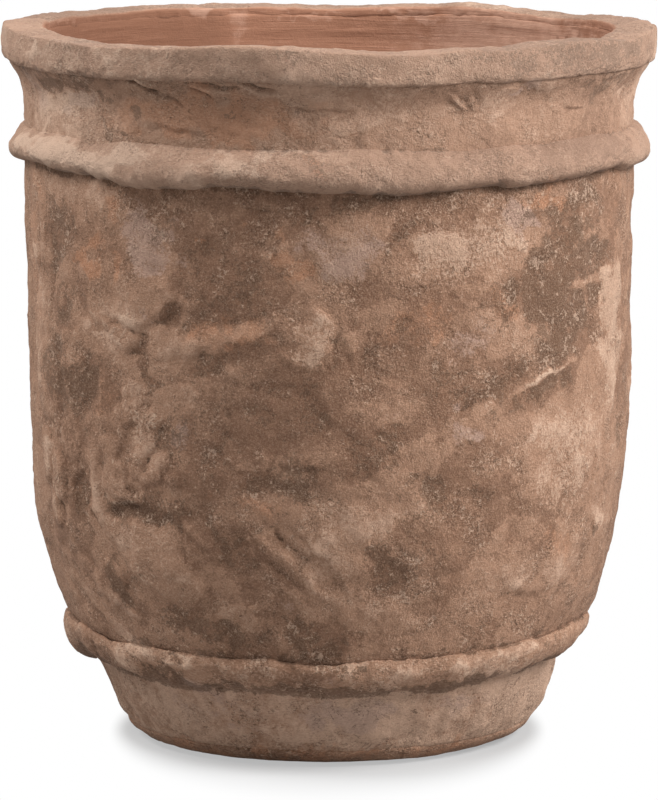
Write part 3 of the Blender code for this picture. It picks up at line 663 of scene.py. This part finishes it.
def draw_up(name, rings, sides, rounds):
    """A closed member, drawn up from a circle through (radius, height) rings and back to its start."""
    bpy.ops.object.select_all(action="DESELECT")
    widen = 1.0 / (2.0 / 3.0 + math.cos(math.tau / sides) / 3.0)  # smoothing draws a ring in by this
    radius, height = rings[0]
    bpy.ops.mesh.primitive_circle_add(vertices=sides, radius=radius * widen, location=(0.0, 0.0, height))
    member = bpy.context.object
    member.name = member.data.name = name + "_clay"
    bpy.ops.object.transform_apply(location=True, rotation=False, scale=False)
    bpy.ops.object.mode_set(mode="EDIT")
    bpy.ops.mesh.select_all(action="SELECT")
    for next_radius, next_height in rings[1:]:
        climb = (0.0, 0.0, next_height - height)
        bpy.ops.mesh.extrude_region_move(TRANSFORM_OT_translate={"value": climb})
        grow = next_radius / radius
        bpy.ops.transform.resize(value=(grow, grow, 1.0), center_override=(0.0, 0.0, next_height))
        radius, height = next_radius, next_height
    bpy.ops.mesh.select_all(action="DESELECT")
    bpy.ops.mesh.select_non_manifold()
    bpy.ops.mesh.bridge_edge_loops()
    bpy.ops.mesh.select_all(action="SELECT")
    bpy.ops.mesh.normals_make_consistent(inside=False)
    bpy.ops.object.mode_set(mode="OBJECT")
    smoothing = member.modifiers.new("smoothing", "SUBSURF")
    smoothing.levels = smoothing.render_levels = rounds
    bpy.ops.object.modifier_apply(modifier="smoothing")
    return member


def read(items, attribute, width, kind):
    """One attribute of all points or edges, as rows of this width."""
    values = np.empty(len(items) * width, kind)
    items.foreach_get(attribute, values)
    return values.reshape(-1, width)


def outward_of(member):
    """The direction that each point of a member faces."""
    return read(member.data.vertex_normals, "vector", 3, np.float32)


def hollowness(member, relief, reach):
    """How far each point lies below the clay within reach of it, from the relief alone."""
    start, end = read(member.data.edges, "vertices", 2, np.int32).T
    count = len(relief)
    neighbours = np.bincount(start, minlength=count) + np.bincount(end, minlength=count)
    sample = member.data.polygons[:2000]
    mesh_step = math.sqrt(sum(face.area for face in sample) / len(sample))
    level = relief
    for _ in range(round(2.0 * (reach / mesh_step) ** 2)):
        total = np.bincount(start, level[end], count) + np.bincount(end, level[start], count)
        level = 0.5 * level + 0.5 * total / neighbours
    return level - relief


def dirt_and_shade_at_edges(angle, height):
    """Dirt and painted shade in the corners along the bands and under the rim."""
    total = np.zeros_like(angle)
    patchy = np.clip(ruffled(0.75, angle, height, PATCHY), 0.0, 2.0)
    for level, up, down, strength in DIRT_AND_SHADE_EDGES:
        away = height - level
        width = np.where(away > 0.0, up, down)
        total += strength * patchy * np.exp(-((away / width) ** 2))
    return total


def paint_mask(member, name, values):
    """Keeps one value for each point of the member for its material to read."""
    layer = member.data.attributes.new(name, "FLOAT", "POINT")
    layer.data.foreach_set("value", values.astype(np.float32))


def thin_out(member):
    """Takes faces away where the clay is smooth, so that the fine ones stay where it is creased."""
    triangles = 2 * len(member.data.polygons)
    if triangles <= MOST_TRIANGLES:
        return
    bpy.context.view_layer.objects.active = member
    thinning = member.modifiers.new("thinning", "DECIMATE")
    thinning.ratio = MOST_TRIANGLES / triangles
    bpy.ops.object.modifier_apply(modifier="thinning")


def finish_by_hand(member, relief_of, inside_of):
    """Sculpts a smoothed member, paints its stains and puts it in its place in the frame."""
    node = member.name.removesuffix("_clay")
    points = read(member.data.vertices, "co", 3, float)
    radius, angle, height = polar(points)
    inside = inside_of(radius, height)
    outside = 1.0 - inside
    on_rim = np.maximum(0.0, height - RIM_TOP + RIM_TURN)
    paler, slip = smeared(angle, height + on_rim, ALL_SMEARS)
    relief = relief_of(angle, height, radius, inside) + SMEAR_DEPTH * (slip - 0.5) * outside
    shaped = hand_shaped(points) + outward_of(member) * relief[:, None]
    low, high = (np.array(corner) for corner in cad_box)
    shaped = np.clip(shaped, low, high)
    member.data.vertices.foreach_set("co", shaped.ravel())
    member.data.update()
    member.data.shade_smooth()
    masks = {name: spread(angle, height, marks) * outside for name, marks in STAINS.items()}
    masks |= {name: spread(angle, height, marks) * inside for name, marks in INNER_STAINS_AND_SHADING.items()}
    masks |= {"inside": inside, "paler": paler * outside, "slip": slip * outside}
    # How far each face looks up: the colour is darkened by it, as painted shade on the tops of the clay
    masks["painted_top_shade"] = np.clip(outward_of(member)[:, 2], 0.0, 1.0) * outside
    # Creases, and the edges along the bands and under the rim, darkened by dirt and painted shade
    creased = hollowness(member, relief, CREASE_REACH) * MILLI
    masks["crease"] = (creased + dirt_and_shade_at_edges(angle, height)) * outside
    # How far each point lies below the clay round it, which darkens the colour as painted shade in hollows
    masks["hollow"] = hollowness(member, relief, HOLLOW_REACH) * outside * MILLI
    for name, values in masks.items():
        paint_mask(member, name, values)
    thin_out(member)
    member.data.materials.clear()
    member.data.materials.append(weathered_clay(node))
    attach(member, "root")
    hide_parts(node)
    return member


def lumps(angle, height, scale):
    """Low lumps that fingers leave all over pressed clay."""
    return scale * ruffled(0.0, angle, height, LUMPS)


def wiped(angle, height, scale):
    """Rings that a wet hand leaves inside as it is drawn round."""
    return scale * ruffled(0.0, angle, height, WIPED_RINGS)


def wall_inside(radius, height):
    """1 on a wall's inner face and 0 on its outer one."""
    profile_heights = np.array(steps(0.0, RIM_TOP, 200))
    profile = np.array([wall_radius(max(LEDGE_HEIGHT, level)) for level in profile_heights])
    middle = np.interp(height, profile_heights, profile) - WALL / 2
    return smooth((middle - radius) / FACE_BLEND + 0.5)


def outer_rings(*levels):
    """Rings on the wall's outer face at these heights."""
    return [(wall_radius(level), level) for level in levels]


def inner_rings(*levels):
    """Rings on the wall's inner face at these heights."""
    return [(inner_radius(level), level) for level in levels]


def floor_slab():
    """Round slab with a rounded heel, a raised middle and a drain hole."""
    rings = [
        (DRAIN_RADIUS + 0.001, FLOOR_TOP), (0.060, FLOOR_TOP), (0.130, FLOOR_TOP),
        (BOSS_RADIUS - 0.001, FLOOR_TOP), (BOSS_RADIUS, LEDGE_HEIGHT + 0.001),
        (HEEL_RADIUS - 0.003, LEDGE_HEIGHT + 0.004), (HEEL_RADIUS - 0.0006, LEDGE_HEIGHT + 0.001),
        (HEEL_RADIUS - 0.0012, LEDGE_HEIGHT - 0.003), (0.1845, 0.0088), (0.1750, 0.0028),
        (0.162, 0.0006), (STANDING_RADIUS, 0.0), (0.080, 0.0), (DRAIN_RADIUS + 0.002, 0.0),
        (DRAIN_RADIUS, 0.004), (DRAIN_RADIUS, 0.021),
    ]
    member = draw_up("floor_slab", rings, TRIM_SIDES, PLAIN)

    def relief(angle, height, radius, inside):
        return lumps(angle, height + radius, 0.4) * smooth(height / 0.006)

    raised_middle = LEDGE_HEIGHT + 0.002
    return finish_by_hand(
        member, relief, lambda radius, height: smooth((height - raised_middle) / FACE_BLEND))


def foot_wall():
    """Cone that stands on the floor slab's ledge."""
    rings = outer_rings(LOWER_JOINT, *steps(LOWER_BAND_BOTTOM, LEDGE_HEIGHT + 0.003, 4))
    rings += [(HEEL_RADIUS - 0.0016, LEDGE_HEIGHT - 0.0020), (HEEL_RADIUS - 0.006, LEDGE_HEIGHT - 0.0015)]
    rings += [(BOSS_RADIUS, LEDGE_HEIGHT), (BOSS_RADIUS, FLOOR_TOP)]
    rings += inner_rings(COIL_TOP, LOWER_BAND_BOTTOM, LOWER_JOINT + JOINT_RISE)
    member = draw_up("foot_wall", rings, TRIM_SIDES, FINE)

    def relief(angle, height, radius, inside):
        outer = lumps(angle, height, 0.8) + pressed(angle, height, FOOT_PATS) - 0.0006
        level = bump((height - FOOT_DENT_HEIGHT) / FOOT_DENT_REACH)
        for centre, half_turn, depth in FOOT_DENTS:
            outer = outer - depth * bump(turn_between(angle, centre) / half_turn) * level
        outer = outer * smooth((height - LEDGE_HEIGHT) / 0.010)
        return between(outer, wiped(angle, height, 1.0), inside)

    return finish_by_hand(member, relief, wall_inside)


def floor_coil():
    """Coil of clay worked into the corner of the floor."""
    rings = [
        (BOSS_RADIUS - 0.0006, FLOOR_TOP - 0.0004), (BOSS_RADIUS - 0.012, FLOOR_TOP - 0.0004),
        (BOSS_RADIUS - 0.0225, FLOOR_TOP), (BOSS_RADIUS - 0.0145, FLOOR_TOP + 0.0016),
        (BOSS_RADIUS - 0.005, FLOOR_TOP + 0.0070), (BOSS_RADIUS + 0.0055, FLOOR_TOP + 0.0160),
        (inner_radius(COIL_TOP) + 0.0004, COIL_TOP), (inner_radius(0.038), 0.036),
    ]
    member = draw_up("floor_coil", rings, TRIM_SIDES, PLAIN)

    def relief(angle, height, radius, inside):
        return lumps(angle, height + radius, 0.7)

    return finish_by_hand(member, relief, lambda radius, height: np.ones_like(radius))


def band(name, bottom, top, reach, section):
    """Applied band: a flattened roll of clay pressed down along both edges."""
    levels = [between(bottom, top, share) for share, fullness in section]
    rings = [
        (wall_radius(level) + reach * fullness, level)
        for level, (share, fullness) in zip(levels, section)
    ]
    rings += [(wall_radius(level) - BAND_SINK, level) for level in steps(bottom + 0.002, top - 0.002, 2)]
    member = draw_up(name, rings, TRIM_SIDES, FINE)

    def relief(angle, height, radius, inside):
        return lumps(angle, height, 1.0) + ruffled(0.0, angle, height, THUMBED) - 0.0004

    return finish_by_hand(member, relief, lambda radius, height: np.zeros_like(radius))


def barrel_wall():
    """The tall wall between the bands."""
    rings = outer_rings(UPPER_JOINT, *steps(UPPER_BAND_BOTTOM, LOWER_BAND_TOP, 18), LOWER_JOINT)
    rings += inner_rings(LOWER_JOINT + JOINT_RISE, 0.20, 0.50, UPPER_JOINT + JOINT_RISE)
    member = draw_up("barrel_wall", rings, WALL_SIDES, FINE)

    def relief(angle, height, radius, inside):
        outer = lumps(angle, height, 0.75) + 0.8 * pressed(angle, height, SMALL_PATS) - 0.0008
        outer += 1.15 * pressed(angle, height, ALL_PATS)
        outer += pressed(angle, height, ALL_HOLLOWS) + 0.64 * drawn(angle, height, CREASES) - 0.0010
        return between(outer, wiped(angle, height, 1.2), inside)

    return finish_by_hand(member, relief, wall_inside)


def neck_wall():
    """Upright neck that hollows out under the rim, its top sunk into the rim's clay."""
    rings = [(0.286, 0.641), (COVE_TOP_RADIUS - 0.0004, RIM_BOTTOM + 0.0045)]
    rings += outer_rings(*steps(RIM_BOTTOM - 0.003, COVE_BOTTOM, 5), 0.585, 0.575)
    rings += outer_rings(UPPER_BAND_TOP, UPPER_JOINT)
    rings += [(BORE_RADIUS, UPPER_JOINT + JOINT_RISE), (BORE_RADIUS, 0.590), (BORE_RADIUS, 0.624)]
    rings += [(BORE_RADIUS - 0.0006, 0.636), (LIP_RADIUS + 0.0003, LIP_BOTTOM - 0.0012)]
    rings += [(BORE_RADIUS + 0.0004, LIP_BOTTOM + 0.004)]
    member = draw_up("neck_wall", rings, TRIM_SIDES, FINE)

    def relief(angle, height, radius, inside):
        outer = lumps(angle, height, 0.75) + 1.1 * drawn(angle, height, NECK_CREASES)
        outer += 0.75 * pressed(angle, height, NECK_PATS) - 0.0006
        return between(outer, wiped(angle, height, 1.0), inside)

    return finish_by_hand(member, relief, wall_inside)


def rim():
    """Heavy strip with a flat face, soft corners and a small inner lip."""
    rings = [
        (RIM_RADIUS - 0.0002, RIM_TOP - 0.0036), (RIM_RADIUS, 0.643), (RIM_RADIUS, 0.634),
        (RIM_RADIUS - 0.0002, RIM_BOTTOM + 0.0052), (RIM_RADIUS - 0.0020, RIM_BOTTOM + 0.0006),
        (COVE_TOP_RADIUS - 0.0016, RIM_BOTTOM - 0.0020), (0.286, RIM_BOTTOM + 0.002), (0.272, 0.637),
        (LIP_RADIUS + 0.0022, LIP_BOTTOM - 0.0022), (LIP_RADIUS + 0.0004, LIP_BOTTOM - 0.0004),
        (LIP_RADIUS, LIP_BOTTOM + 0.0055), (LIP_RADIUS + 0.0012, RIM_TOP - 0.0018),
        (LIP_RADIUS + 0.0065, RIM_TOP + 0.0004), (0.280, RIM_TOP),
        (RIM_RADIUS - 0.0042, RIM_TOP + 0.0003), (RIM_RADIUS - 0.0010, RIM_TOP - 0.0007),
    ]
    member = draw_up("rim", rings, TRIM_SIDES, FINE)

    def relief(angle, height, radius, inside):
        patted = pressed(angle, height + radius - RIM_RADIUS, RIM_PATS)
        return lumps(angle, height + radius, 0.7) + patted - 0.0008

    inner_lip = LIP_RADIUS + FACE_BLEND
    return finish_by_hand(
        member, relief, lambda radius, height: smooth((inner_lip - radius) / FACE_BLEND))


def linear(red, green, blue):
    """A colour read in ordinary 0 to 255 terms, as the shader takes it."""
    def one(value):
        value /= 255.0
        return value / 12.92 if value <= 0.04045 else ((value + 0.055) / 1.055) ** 2.4
    return (one(red), one(green), one(blue), 1.0)


# Tones of the clay and of what lies on it
DEEP = linear(126, 93, 73)
FIRED = linear(157, 121, 98)
SANDY = linear(190, 156, 133)
SOOTY = linear(88, 65, 49)
# Dark dirt, also laid as painted shade in creases and along the bands and rim
DIRT_AND_SHADE = linear(80, 57, 42)
RUSTY = linear(172, 121, 90)
BLOOMED = linear(170, 141, 126)
DUSTY = linear(207, 177, 154)
PALLID = linear(166, 144, 129)
BARE = linear(156, 112, 89)
BARE_LIGHT = linear(169, 125, 102)
BARE_DEEP = linear(140, 98, 77)
# Dark stains and painted shade, and pale smears and painted light, on the inner wall
BARE_STAINED_AND_SHADED = linear(116, 79, 60)
BARE_PALE_AND_LIT = linear(206, 166, 144)

# How much pale dust lies on the members that stand out, and how light their clay is
DUSTING = {"rim": 0.36, "upper_band": 0.40, "neck_wall": 0.18, "lower_band": 0.05}
LIGHTNESS = {
    "rim": 0.09, "upper_band": 0.10, "neck_wall": 0.16, "barrel_wall": -0.05, "lower_band": 0.05,
    "foot_wall": 0.19,
}


class Recipe:
    """Builds the nodes of one material or world, left to right."""

    def __init__(self, owner):
        owner.use_nodes = True
        self.nodes = owner.node_tree.nodes
        self.links = owner.node_tree.links

    @cached_property
    def place(self):
        """Object coordinates, from one node that all textures share."""
        return self.add("TexCoord")["Object"]

    def add(self, kind, inputs=None, **settings):
        """Adds a shader node with its settings, and gives its outputs back."""
        node = self.nodes.new("ShaderNode" + kind)
        for name, value in settings.items():
            setattr(node, name, value)
        for socket, value in (inputs or {}).items():
            self.put(node.inputs[socket], value)
        return node.outputs

    def put(self, socket, value):
        """Links an output to a socket, or sets the socket to a plain value."""
        if isinstance(value, bpy.types.NodeSocket):
            self.links.new(value, socket)
        else:
            socket.default_value = value

    def stretched(self, scale):
        """Object coordinates, drawn out along an axis where its scale is small."""
        return self.add("Mapping", {"Vector": self.place, "Scale": scale})["Vector"]

    def noise(self, scale, detail, roughness, place=None, warp=0.0):
        """Fractal noise of so many features to the metre, spread evenly from 0 to 1."""
        outputs = self.add("TexNoise", {
            "Vector": place or self.place, "Scale": scale, "Detail": detail, "Roughness": roughness,
            "Distortion": warp})
        return self.share(outputs["Fac"], 0.28, 0.72, smoothly=False)

    def flakes(self, scale, warp):
        """Overlapping flakes, so many to the metre: how high each one stands, from 0 to 1."""
        bend = self.add("TexNoise", {
            "Vector": self.place, "Scale": 1.6 * scale, "Detail": 4.0, "Roughness": 0.6})["Color"]
        bent = self.add("VectorMath", {
            0: bend, 1: (warp, warp, warp), 2: self.stretched((1.0, 1.0, 1.35))}, operation="MULTIPLY_ADD")
        cells = self.add("TexVoronoi", {"Vector": bent["Vector"], "Scale": scale})["Color"]
        return self.add("SeparateColor", {"Color": cells})["Red"]

    def toward(self, direction):
        """How far a place lies out in a direction."""
        return self.add("VectorMath", {0: self.place, 1: direction}, operation="DOT_PRODUCT")["Value"]

    def length(self, place):
        """Distance of a place from the origin."""
        return self.add("VectorMath", {0: place}, operation="LENGTH")["Value"]

    def mask(self, name):
        """One of the member's painted masks."""
        return self.add("Attribute", attribute_name=name)["Fac"]

    def work(self, operation, first, second):
        """One step of arithmetic."""
        return self.add("Math", {0: first, 1: second}, operation=operation)[0]

    def sum(self, *terms):
        """Adds terms, each a value or a (value, weight) pair."""
        total = None
        for term in terms:
            if isinstance(term, tuple):
                term = self.work("MULTIPLY", *term)
            total = term if total is None else self.work("ADD", total, term)
        return total

    def share(self, value, low, high, smoothly=True):
        """0 below low, 1 above high, and gentle in between."""
        return self.add(
            "MapRange", {"Value": value, "From Min": low, "From Max": high},
            interpolation_type="SMOOTHSTEP" if smoothly else "LINEAR")["Result"]

    def where(self, low, high, *terms):
        """0 where the terms add up to less than low, 1 above high, and gentle in between."""
        return self.share(self.sum(*terms), low, high)

    def blend(self, share, first, second):
        """One colour over another by a share."""
        return self.add("Mix", {"Factor": share, 6: first, 7: second}, data_type="RGBA")[2]

    def cover(self, under, colour, share, strength):
        """A colour laid over what is under it, by a share of a strength."""
        return self.blend(self.work("MULTIPLY", share, strength), under, colour)

    def raised(self, height, distance, strength, under=None):
        """Fine relief on top of the relief under it."""
        inputs = {"Distance": distance, "Strength": strength, "Height": height}
        if under is not None:
            inputs["Normal"] = under
        return self.add("Bump", inputs)["Normal"]

    def seen(self):
        """1 for what the camera sees, also in gloss or through glass, and 0 for light on things."""
        path = self.add("LightPath")
        glossy = self.work("MAXIMUM", path["Is Camera Ray"], path["Is Glossy Ray"])
        return self.work("MAXIMUM", glossy, path["Is Transmission Ray"])


def bare_clay(make, broad, cloud, speck, wiping):
    """Colour of the bare orange clay inside, wiped round by a wet hand and smeared here and there, with
    painted light and shade on the inner wall.
    """
    inner = make.blend(make.where(0.25, 0.60, (wiping, 0.55), (broad, 0.45)), BARE_DEEP, BARE)
    light = make.where(0.50, 0.85, (wiping, 0.45), (cloud, 0.35), (speck, 0.20))
    inner = make.blend(light, inner, BARE_LIGHT)
    # Pale smears with painted light on the inner wall's right, dark stains with painted shade on its left
    for mask, colour, strength in (("pale", BARE_PALE_AND_LIT, 0.75), ("dark", BARE_STAINED_AND_SHADED, 0.55)):
        smear = make.where(0.45, 1.25, (make.mask(mask), 0.8), (wiping, 0.3), (cloud, 0.3))
        inner = make.cover(inner, colour, smear, strength)
    return inner


def weathered_clay(node):
    """Weathered, hand-pressed terracotta outside, and bare wiped orange clay inside."""
    material = bpy.data.materials.new("weathered_" + node)
    make = Recipe(material)
    calm = node in ("rim", "upper_band")
    even = calm or node == "neck_wall"
    barrel = node == "barrel_wall"

    broad = make.noise(7.0, 3.0, 0.5)
    patch = make.noise(24.0, 7.0, 0.66, warp=0.5)
    mauve = make.noise(17.0, 6.0, 0.62, place=make.stretched((1.0, 1.0, 1.35)), warp=0.8)
    cloud = make.noise(85.0, 5.0, 0.66)
    speck = make.noise(330.0, 3.0, 0.65)
    crumb = make.noise(390.0, 2.0, 0.50)
    lace = make.noise(130.0, 4.0, 0.70, warp=0.35)
    chipped = make.noise(105.0, 4.0, 0.70)
    large_flake = make.flakes(24.0, 0.060)
    small_flake = make.flakes(66.0, 0.026)
    grain = make.noise(900.0, 2.0, 0.6)
    linen = make.noise(680.0, 2.0, 0.75, place=None if barrel else make.stretched((0.5, 0.5, 1.4)))
    streak = make.noise(95.0, 4.0, 0.7, place=make.stretched((1.0, 1.0, 0.14)))
    folds = make.noise(30.0, 4.0, 0.62, place=make.stretched((1.0, 1.0, 1.6)), warp=1.0)
    wiping = make.noise(22.0, 5.0, 0.7, place=make.stretched((1.0, 1.0, 26.0)))
    soot, rust, bloom, dust = (make.mask(name) for name in STAINS)
    crease, hollow, paler = make.mask("crease"), make.mask("hollow"), make.mask("paler")
    slip, painted_top_shade, inside = make.mask("slip"), make.mask("painted_top_shade"), make.mask("inside")
    gritty = make.work(
        "MULTIPLY", make.share(make.noise(34.0, 4.0, 0.6), 0.30, 0.75), make.sum((slip, -0.70), 1.0))

    # Fired clay, from deep to sandy, darkened as painted shade on faces that look up and in hollows
    ragged = make.sum(paler, (lace, 0.24), (crumb, 0.34), -0.29)
    pale_edged = make.share(ragged, 0.18, 0.25)
    dark_edged = make.share(ragged, -0.18, -0.25)
    tone = make.sum(
        (broad, 0.26), (patch, 0.08 if even else 0.16), (cloud, 0.05 if even else 0.08), (lace, 0.12),
        (speck, 0.12), (streak, 0.20 if node == "foot_wall" else 0.03 if even else 0.08),
        (hollow, -0.05), (large_flake, 0.04 if even else 0.07), (small_flake, 0.04 if calm else 0.06),
        (paler, 0.05), (pale_edged, 0.09), (dark_edged, -0.09), (soot, -0.10), (dust, 0.07),
        (painted_top_shade, -0.12), LIGHTNESS.get(node, 0.0) + (0.13 if calm else 0.05 if even else 0.01))
    outer = make.blend(make.share(tone, 0.30, 0.54), DEEP, FIRED)
    outer = make.blend(make.share(tone, 0.53, 0.82), outer, SANDY)

    # Stains, each torn at its edge by the clay's texture
    bloomed = make.where(0.82, 1.12, (bloom, 0.66), (mauve, 0.72), (crumb, 0.26))
    outer = make.cover(outer, BLOOMED, bloomed, 0.66)
    rusted = make.where(0.76, 1.20, (rust, 0.80), (patch, 0.35), (lace, 0.25), (speck, 0.30))
    outer = make.cover(outer, RUSTY, rusted, 0.60)
    # In hollows the dust thins out and the soot thickens, as painted shade
    dusted = make.where(
        1.06, 1.38, (dust, 0.62), (patch, 0.12 if calm else 0.24), (cloud, 0.12 if calm else 0.26),
        (speck, 0.35 if calm else 0.60), (hollow, -0.10), (paler, 0.22),
        (0.18 if calm else 0.09) + DUSTING.get(node, 0.0))
    outer = make.cover(outer, DUSTY, dusted, 0.50 if calm else 0.36)
    torn = make.where(0.30, 0.62, (cloud, 0.6), (patch, 0.4))
    stained = make.work("MULTIPLY", soot, make.sum((torn, 0.55), 0.45))
    sooted = make.where(
        1.11, 1.17, (stained, 0.66), (broad, 0.22), (patch, 0.28), (lace, 0.46), (crumb, 0.50),
        (hollow, 0.12), (paler, -0.30))
    outer = make.cover(outer, SOOTY, sooted, 0.60)
    # Dirt and painted shade in creases and along the edges of the bands and rim
    dirt_and_crease_shade = make.where(0.92, 1.24, (crease, 0.70), (crumb, 0.45), (lace, 0.30))
    outer = make.cover(outer, DIRT_AND_SHADE, dirt_and_crease_shade, 0.60)

    # Pits, grains, dark lace, pale chips and a fine weave left by a cloth
    pitted = make.where(0.42, 0.24, (grain, 0.6), (crumb, 0.4))
    outer = make.cover(outer, DIRT_AND_SHADE, pitted, make.sum((gritty, 0.44), 0.10))
    grained = make.where(0.60, 0.84, (grain, 0.6), (speck, 0.4))
    outer = make.cover(outer, DUSTY, grained, make.sum((gritty, 0.30), 0.12))
    laced = make.where(0.19, 0.15, (lace, 0.5), (crumb, 0.5), (gritty, -0.16))
    outer = make.cover(outer, DIRT_AND_SHADE, laced, 0.15 if even else 0.38)
    chips = make.where(0.78, 0.82, (chipped, 0.5), (speck, 0.5), (gritty, 0.16), (sooted, 0.07))
    outer = make.cover(outer, DUSTY, chips, 0.22 if even else 0.40)
    if even:
        outer = make.blend(0.28 if calm else 0.12, outer, PALLID)
    threaded = make.sum((gritty, 0.14), 0.10 if even else 0.19)
    outer = make.cover(outer, DIRT_AND_SHADE, make.share(linen, 0.55, 0.10), threaded)
    outer = make.cover(outer, DUSTY, make.share(linen, 0.45, 0.90), threaded)

    # Fine broken wrinkles, where the folds' noise crosses its middle
    away = make.work("ABSOLUTE", make.sum(folds, -0.5), 0.0)
    broken = make.work("MULTIPLY", make.share(cloud, 0.38, 0.60), make.share(mauve, 0.42, 0.66))
    wrinkled = make.work("MULTIPLY", make.share(away, 0.026, 0.006), broken)
    outer = make.cover(outer, DIRT_AND_SHADE, wrinkled, 0.30 if calm else 0.56)

    # Relief too fine for the mesh, from coarse to fine
    rough = make.sum((inside, -0.75), 1.0)
    coarse = make.raised(
        make.sum((cloud, 0.7), (large_flake, 0.4), (small_flake, 0.3)), 0.0015 if barrel else 0.0010, rough)
    gravelly = make.work("MULTIPLY", make.sum((gritty, 0.75), 0.35), rough)
    fine = make.raised(make.sum((speck, 0.7), (crumb, 0.4), (folds, 0.9)), 0.0012, gravelly, coarse)
    ringed = make.raised(make.work("MULTIPLY", wiping, inside), 0.0003, 1.0, fine)
    grainy = make.raised(grain, 0.0005, rough, ringed)

    shader = make.nodes["Principled BSDF"].inputs
    inner = bare_clay(make, broad, cloud, speck, wiping)
    make.put(shader["Base Color"], make.blend(inside, outer, inner))
    make.put(shader["Roughness"], make.sum((speck, 0.08), (patch, -0.05), 0.90))
    make.put(shader["Specular IOR Level"], 0.25)
    make.put(shader["Normal"], grainy)
    material.diffuse_color = FIRED
    return material


def sky():
    """Soft even light from all round, and white where the background shows."""
    world = bpy.data.worlds.new("studio")
    bpy.context.scene.world = world
    make = Recipe(world)
    make.nodes.clear()
    lit = make.add("Background", {"Color": WHITE, "Strength": SKY_STRENGTH})["Background"]
    shown = make.add("Background", {"Color": WHITE, "Strength": 1.0})["Background"]
    both = make.add("MixShader", {"Fac": make.seen(), 1: lit, 2: shown})["Shader"]
    make.add("OutputWorld", {"Surface": both})


def lamps():
    """Two wide soft lamps, the stronger one on the right."""
    for name, place, energy in LAMPS:
        lamp = bpy.data.lights.new(name, "AREA")
        lamp.energy = energy
        lamp.shape = "DISK"
        lamp.size = LAMP_WIDTH
        lantern = bpy.data.objects.new(name, lamp)
        lantern.location = place
        lantern.rotation_euler = (LAMPS_AIM - Vector(place)).to_track_quat("-Z", "Y").to_euler()
        bpy.context.scene.collection.objects.link(lantern)


def ground():
    """Plain pale floor that keeps the pot's shadow near its foot, with painted shade added close to the
    foot on the right, and fades to white.
    """
    bpy.ops.object.select_all(action="DESELECT")
    bpy.ops.mesh.primitive_plane_add(size=FLOOR_SIZE, location=(0.0, 0.0, 0.0))
    floor = bpy.context.object
    floor.name = floor.data.name = "floor"
    material = bpy.data.materials.new("floor_white")
    make = Recipe(material)
    make.nodes.remove(make.nodes["Principled BSDF"])
    away = make.length(make.place)
    edge = make.work(
        "DIVIDE", away, make.length(make.stretched((1.0 / SHADOW_WIDTH, 1.0 / SHADOW_DEPTH, 1.0))))
    foot = HEEL_RADIUS - 0.0045
    out = make.work("DIVIDE", make.work("SUBTRACT", away, foot), make.work("SUBTRACT", edge, foot))
    beyond = make.share(out, 0.0, 1.0)
    close = make.share(out, 0.70, 0.0, smoothly=False)
    # Painted shade: less white glow close to the foot on its lit right side, so the floor there is darker
    painted_shade_right = make.share(make.toward((1.0, 0.25, 0.0)), 0.02, 0.17)
    clear = make.sum((beyond, 0.55), (make.work("MULTIPLY", close, painted_shade_right), -0.08), 0.45)
    shade = make.add("BsdfDiffuse", {"Color": FLOOR_GREY})["BSDF"]
    glow = make.add("Emission", {"Color": WHITE})["Emission"]
    share = make.work("MULTIPLY", make.seen(), clear)
    both = make.add("MixShader", {"Fac": share, 1: shade, 2: glow})["Shader"]
    make.put(make.nodes["Material Output"].inputs["Surface"], both)
    floor.data.materials.append(material)


def camera():
    """The photograph's view: a long lens a little above the pot's shoulder."""
    rise = math.radians(CAMERA_RISE)
    back = Vector((0.0, -math.cos(rise), math.sin(rise))) * CAMERA_DISTANCE
    lens = bpy.data.cameras.new("camera")
    lens.lens = CAMERA_LENS
    lens.clip_end = 100.0
    eye = bpy.data.objects.new("camera", lens)
    eye.location = Vector(CAMERA_AIM) + back
    eye.rotation_euler = (-back).to_track_quat("-Z", "Y").to_euler()
    bpy.context.scene.collection.objects.link(eye)
    bpy.context.scene.camera = eye


camera()
sky()
lamps()
ground()
floor_slab()
foot_wall()
floor_coil()
band("lower_band", LOWER_BAND_BOTTOM, LOWER_BAND_TOP, LOWER_BAND_REACH, ROLLED)
barrel_wall()
neck_wall()
band("upper_band", UPPER_BAND_BOTTOM, UPPER_BAND_TOP, UPPER_BAND_REACH, SLOPED)
rim()

bpy.context.scene.view_settings.view_transform = "Standard"
